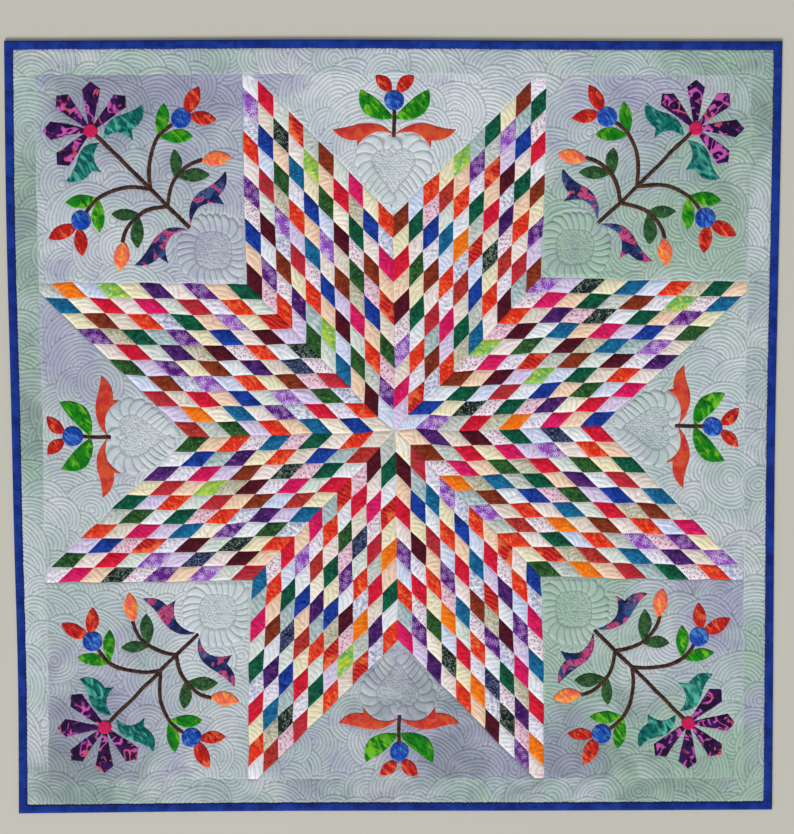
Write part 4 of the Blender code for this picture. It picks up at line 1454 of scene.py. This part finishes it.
def petal_cloth():
    """Dark purple with curling pink and rose lines and blots."""
    cloth = Cloth("petal purple")
    line = cloth.ease(cloth.away(cloth.noise(46, 0.4, 0.4, 2.6)), 0.03, 0.075, 1.0, 0.0)
    where = cloth.noise(26, 2.0, 0.5, 0.8, cloth.moved((1.2, 0.4, 0)))
    share = cloth.math("MULTIPLY", line, cloth.ease(where, 0.46, 0.57, 0.0, 0.95))
    base = cloth.over((28, 8, 46), (56, 16, 84), cloth.noise(16), 0.4, 0.6)
    pink = cloth.over((208, 90, 184), (214, 84, 104), cloth.noise(30, 1), 0.48, 0.62)
    blot = cloth.noise(22, 1.0, 0.5, 1.2, cloth.moved((3.2, 1.4, 0)))
    base = cloth.over(base, pink, blot, 0.60, 0.64, 0, 0.85)
    return cloth.finished(cloth.mix(share, base, pink))


def root_cloth():
    """Navy with grey blue and rose patches, and thin dark lines that wander over them."""
    cloth = Cloth("root leaf navy")
    base = cloth.over((38, 56, 112), (20, 30, 74), cloth.noise(12), 0.4, 0.6)
    blue = cloth.noise(34, 1.0, 0.5, 0.4, cloth.moved((2.2, 4.1, 0)))
    base = cloth.over(base, (66, 94, 150), blue, 0.50, 0.58, 0, 0.9)
    rose = cloth.noise(26, 1.5, 0.5, 1.0, cloth.moved((0.7, 2.4, 0)))
    base = cloth.over(base, (208, 78, 128), rose, 0.50, 0.54, 0, 0.95)
    line = cloth.away(cloth.noise(9, 2, 0.55, 1.4))
    return cloth.finished(cloth.over(base, (18, 24, 62), line, 0.015, 0.05, 0.85, 0.0))


def binding_cloth():
    """Blue cotton, mottled, with painted shade along its sewn-down inner edge and its outer fold.
    """
    cloth = Cloth("binding blue")
    base = cloth.over((10, 40, 124), (22, 58, 152), cloth.noise(34, 3, 0.6), 0.36, 0.64)
    base = cloth.over(base, (12, 26, 92), cloth.noise(15, 2), 0.52, 0.7, 0, 0.6)
    # Painted shade: darker purple blue towards both edges of the binding.
    base = cloth.over(base, (42, 34, 98), cloth.field("edge"), 0.4, 3.2, 0.55, 0.0)
    return cloth.finished(base, seam=0.3, seam_reach=1.0)


def sprayed_cloths():
    """Cloths of the sewn-on sprays by name."""
    cloths = {row[0]: painted(row) for row in SPRAY_CLOTHS}
    # Stems take deeper painted shade along their edges.
    cloths["stem brown"] = painted(STEM_CLOTH, seam=0.45)
    cloths["petal purple"] = petal_cloth()
    cloths["root leaf navy"] = root_cloth()
    return cloths


def side_loop(quarter):
    fall = BORDER_SEAM - ARM_SIDE
    return turned([(ARM_SIDE, 0), (BORDER_SEAM, -fall), (BORDER_SEAM, fall)], quarter * math.pi / 2)


def corner_loop(quarter):
    low, high = PANEL_CORNER, BORDER_SEAM
    return turned([(low, low), (high, low), (high, high), (low, high)], quarter * math.pi / 2)


def border_loop(quarter):
    """A border strip from its seam to under the binding, with a corner wherever a panel has one."""
    end, out = (half - (BINDING_WIDTH - BINDING_TUCK) for half in halves(quarter))
    fall = BORDER_SEAM - ARM_SIDE
    stops = [-BORDER_SEAM, -PANEL_CORNER, -fall, fall, PANEL_CORNER, BORDER_SEAM]
    if quarter % 2:
        stops = [-end] + stops + [end]
    else:
        end = BORDER_SEAM
    loop = [(BORDER_SEAM, run) for run in stops] + [(out, end), (out, -end)]
    return turned(loop, quarter * math.pi / 2)


# A slot name for each kind of node of a spray, passed along with its pieces.
SLOTS = {
    "stem": "stem_and_leaf_cloth",
    "flower": "flower_cloth",
    "berry": "berry_cloth",
    "flower_leaf": "flower_leaf_cloth",
    "root_leaf": "root_leaf_cloth",
    "side_spray": "side_spray_cloth",
}


def panel(kind, quarter, spray, fans, cloths):
    """A panel of the ground with the spray that is sewn on it."""
    name, heading, along, across = spray
    way = (math.radians(heading), along, across)
    if kind == "corner":
        nodes, loop, core = corner_shapes(), corner_loop(quarter), wreath_core(quarter)
        feathers = plume_points(core, WREATH_LOBES)
    else:
        nodes, loop, core = side_shapes(), side_loop(quarter), heart_core(quarter)
        feathers = plume_points(core, HEART_LOBES, quarter * math.pi / 2)
    covers = [line for shapes in nodes.values() for line in patch_loops(shapes, way)]
    sheet = ground(
        f"{kind}_panel_{quarter + 1}", "ground_cloth", loop, cloths["ground"], fans, PANEL_DYES,
        core, feathers, covers,
    )
    pieces = [sewn_on(key.format(name), SLOTS[key.split("_{0}")[0]], shapes, way, cloths)
              for key, shapes in nodes.items()]


def lay_quilt():
    """Every piece of the quilt."""
    cloths = sprayed_cloths()
    cloths["ground"] = dyed_ground("ground dye", (186, 202, 204), 0.3)
    border_cloth = dyed_ground("border dye", (184, 202, 202), 2.6)
    fans = fan_points(FAN_PITCH)
    for kind, sprays in (("corner", SPRAYS), ("side", SIDE_SPRAYS)):
        for quarter, spray in enumerate(sprays):
            panel(kind, quarter, spray, fans, cloths)
    for side in ("top", "bottom", "right", "left"):
        loop = border_loop(SIDES.index(side))
        strip = ground(f"border_{side}", "border_cloth", loop, border_cloth, fans, BORDER_DYES)
    star_fans = fan_points(STAR_PITCH)
    # The scraps take painted shade in their stitched grooves and along their seams.
    scraps = [painted(row, groove=0.26, seam=0.16, seam_reach=1.1)
              for row in LIGHT_CLOTHS + DARK_CLOTHS]
    for number in range(8):
        arm = star_arm(number, star_fans, scraps)
    blue = binding_cloth()
    for quarter in range(4):
        strip = binding(quarter, blue)
    under = backing(painted(BACKING_CLOTH, seam=0.3, seam_reach=0.9))


def floor():
    mesh = bpy.data.meshes.new("floor")
    half, z = FLOOR_HALF, FLOOR_Z * MM
    corners = [(-half, -half, z), (half, -half, z), (half, half, z), (-half, half, z)]
    mesh.from_pydata(corners, [], [(0, 1, 2, 3)])
    material = bpy.data.materials.new("floor pale")
    material.use_nodes = True
    shader = material.node_tree.nodes["Principled BSDF"]
    shader.inputs["Base Color"].default_value = (*linear(FLOOR_COLOUR), 1)
    shader.inputs["Roughness"].default_value = 0.6
    mesh.materials.append(material)
    plane = bpy.data.objects.new("floor", mesh)
    bpy.context.collection.objects.link(plane)


def sun(name, heading, height, strength, spread):
    """Even light from far off: its compass heading, its height in degrees and its softness."""
    data = bpy.data.lights.new(name, "SUN")
    data.energy = strength
    data.angle = math.radians(spread)
    data.color = SUN_COLOUR
    lamp = bpy.data.objects.new(name, data)
    out = polar(math.cos(math.radians(height)), math.radians(heading))
    place = Vector((*out, math.sin(math.radians(height))))
    lamp.rotation_euler = (-place).to_track_quat("-Z", "Y").to_euler()
    bpy.context.collection.objects.link(lamp)


def studio():
    """A pale floor, a soft key light from beyond the bottom edge, and an even sky."""
    floor()
    world = bpy.data.worlds.new("studio")
    world.use_nodes = True
    sky = world.node_tree.nodes["Background"].inputs
    sky["Color"].default_value = SKY_COLOUR
    sky["Strength"].default_value = 0.36
    bpy.context.scene.world = world
    sun("key", heading=-108, height=34, strength=3.1, spread=24)
    bpy.context.scene.view_settings.view_transform = "Standard"


def camera():
    data = bpy.data.cameras.new("camera")
    data.lens = CAMERA_LENS
    data.sensor_width = 36
    data.clip_start = 0.05
    view = bpy.data.objects.new("camera", data)
    place = np.array(CAMERA_PLACE)
    place[:2] += CENTRING
    view.location = place * MM
    view.rotation_euler = [math.radians(angle) for angle in CAMERA_TURN]
    bpy.context.collection.objects.link(view)
    bpy.context.scene.camera = view


lay_quilt()
studio()
camera()
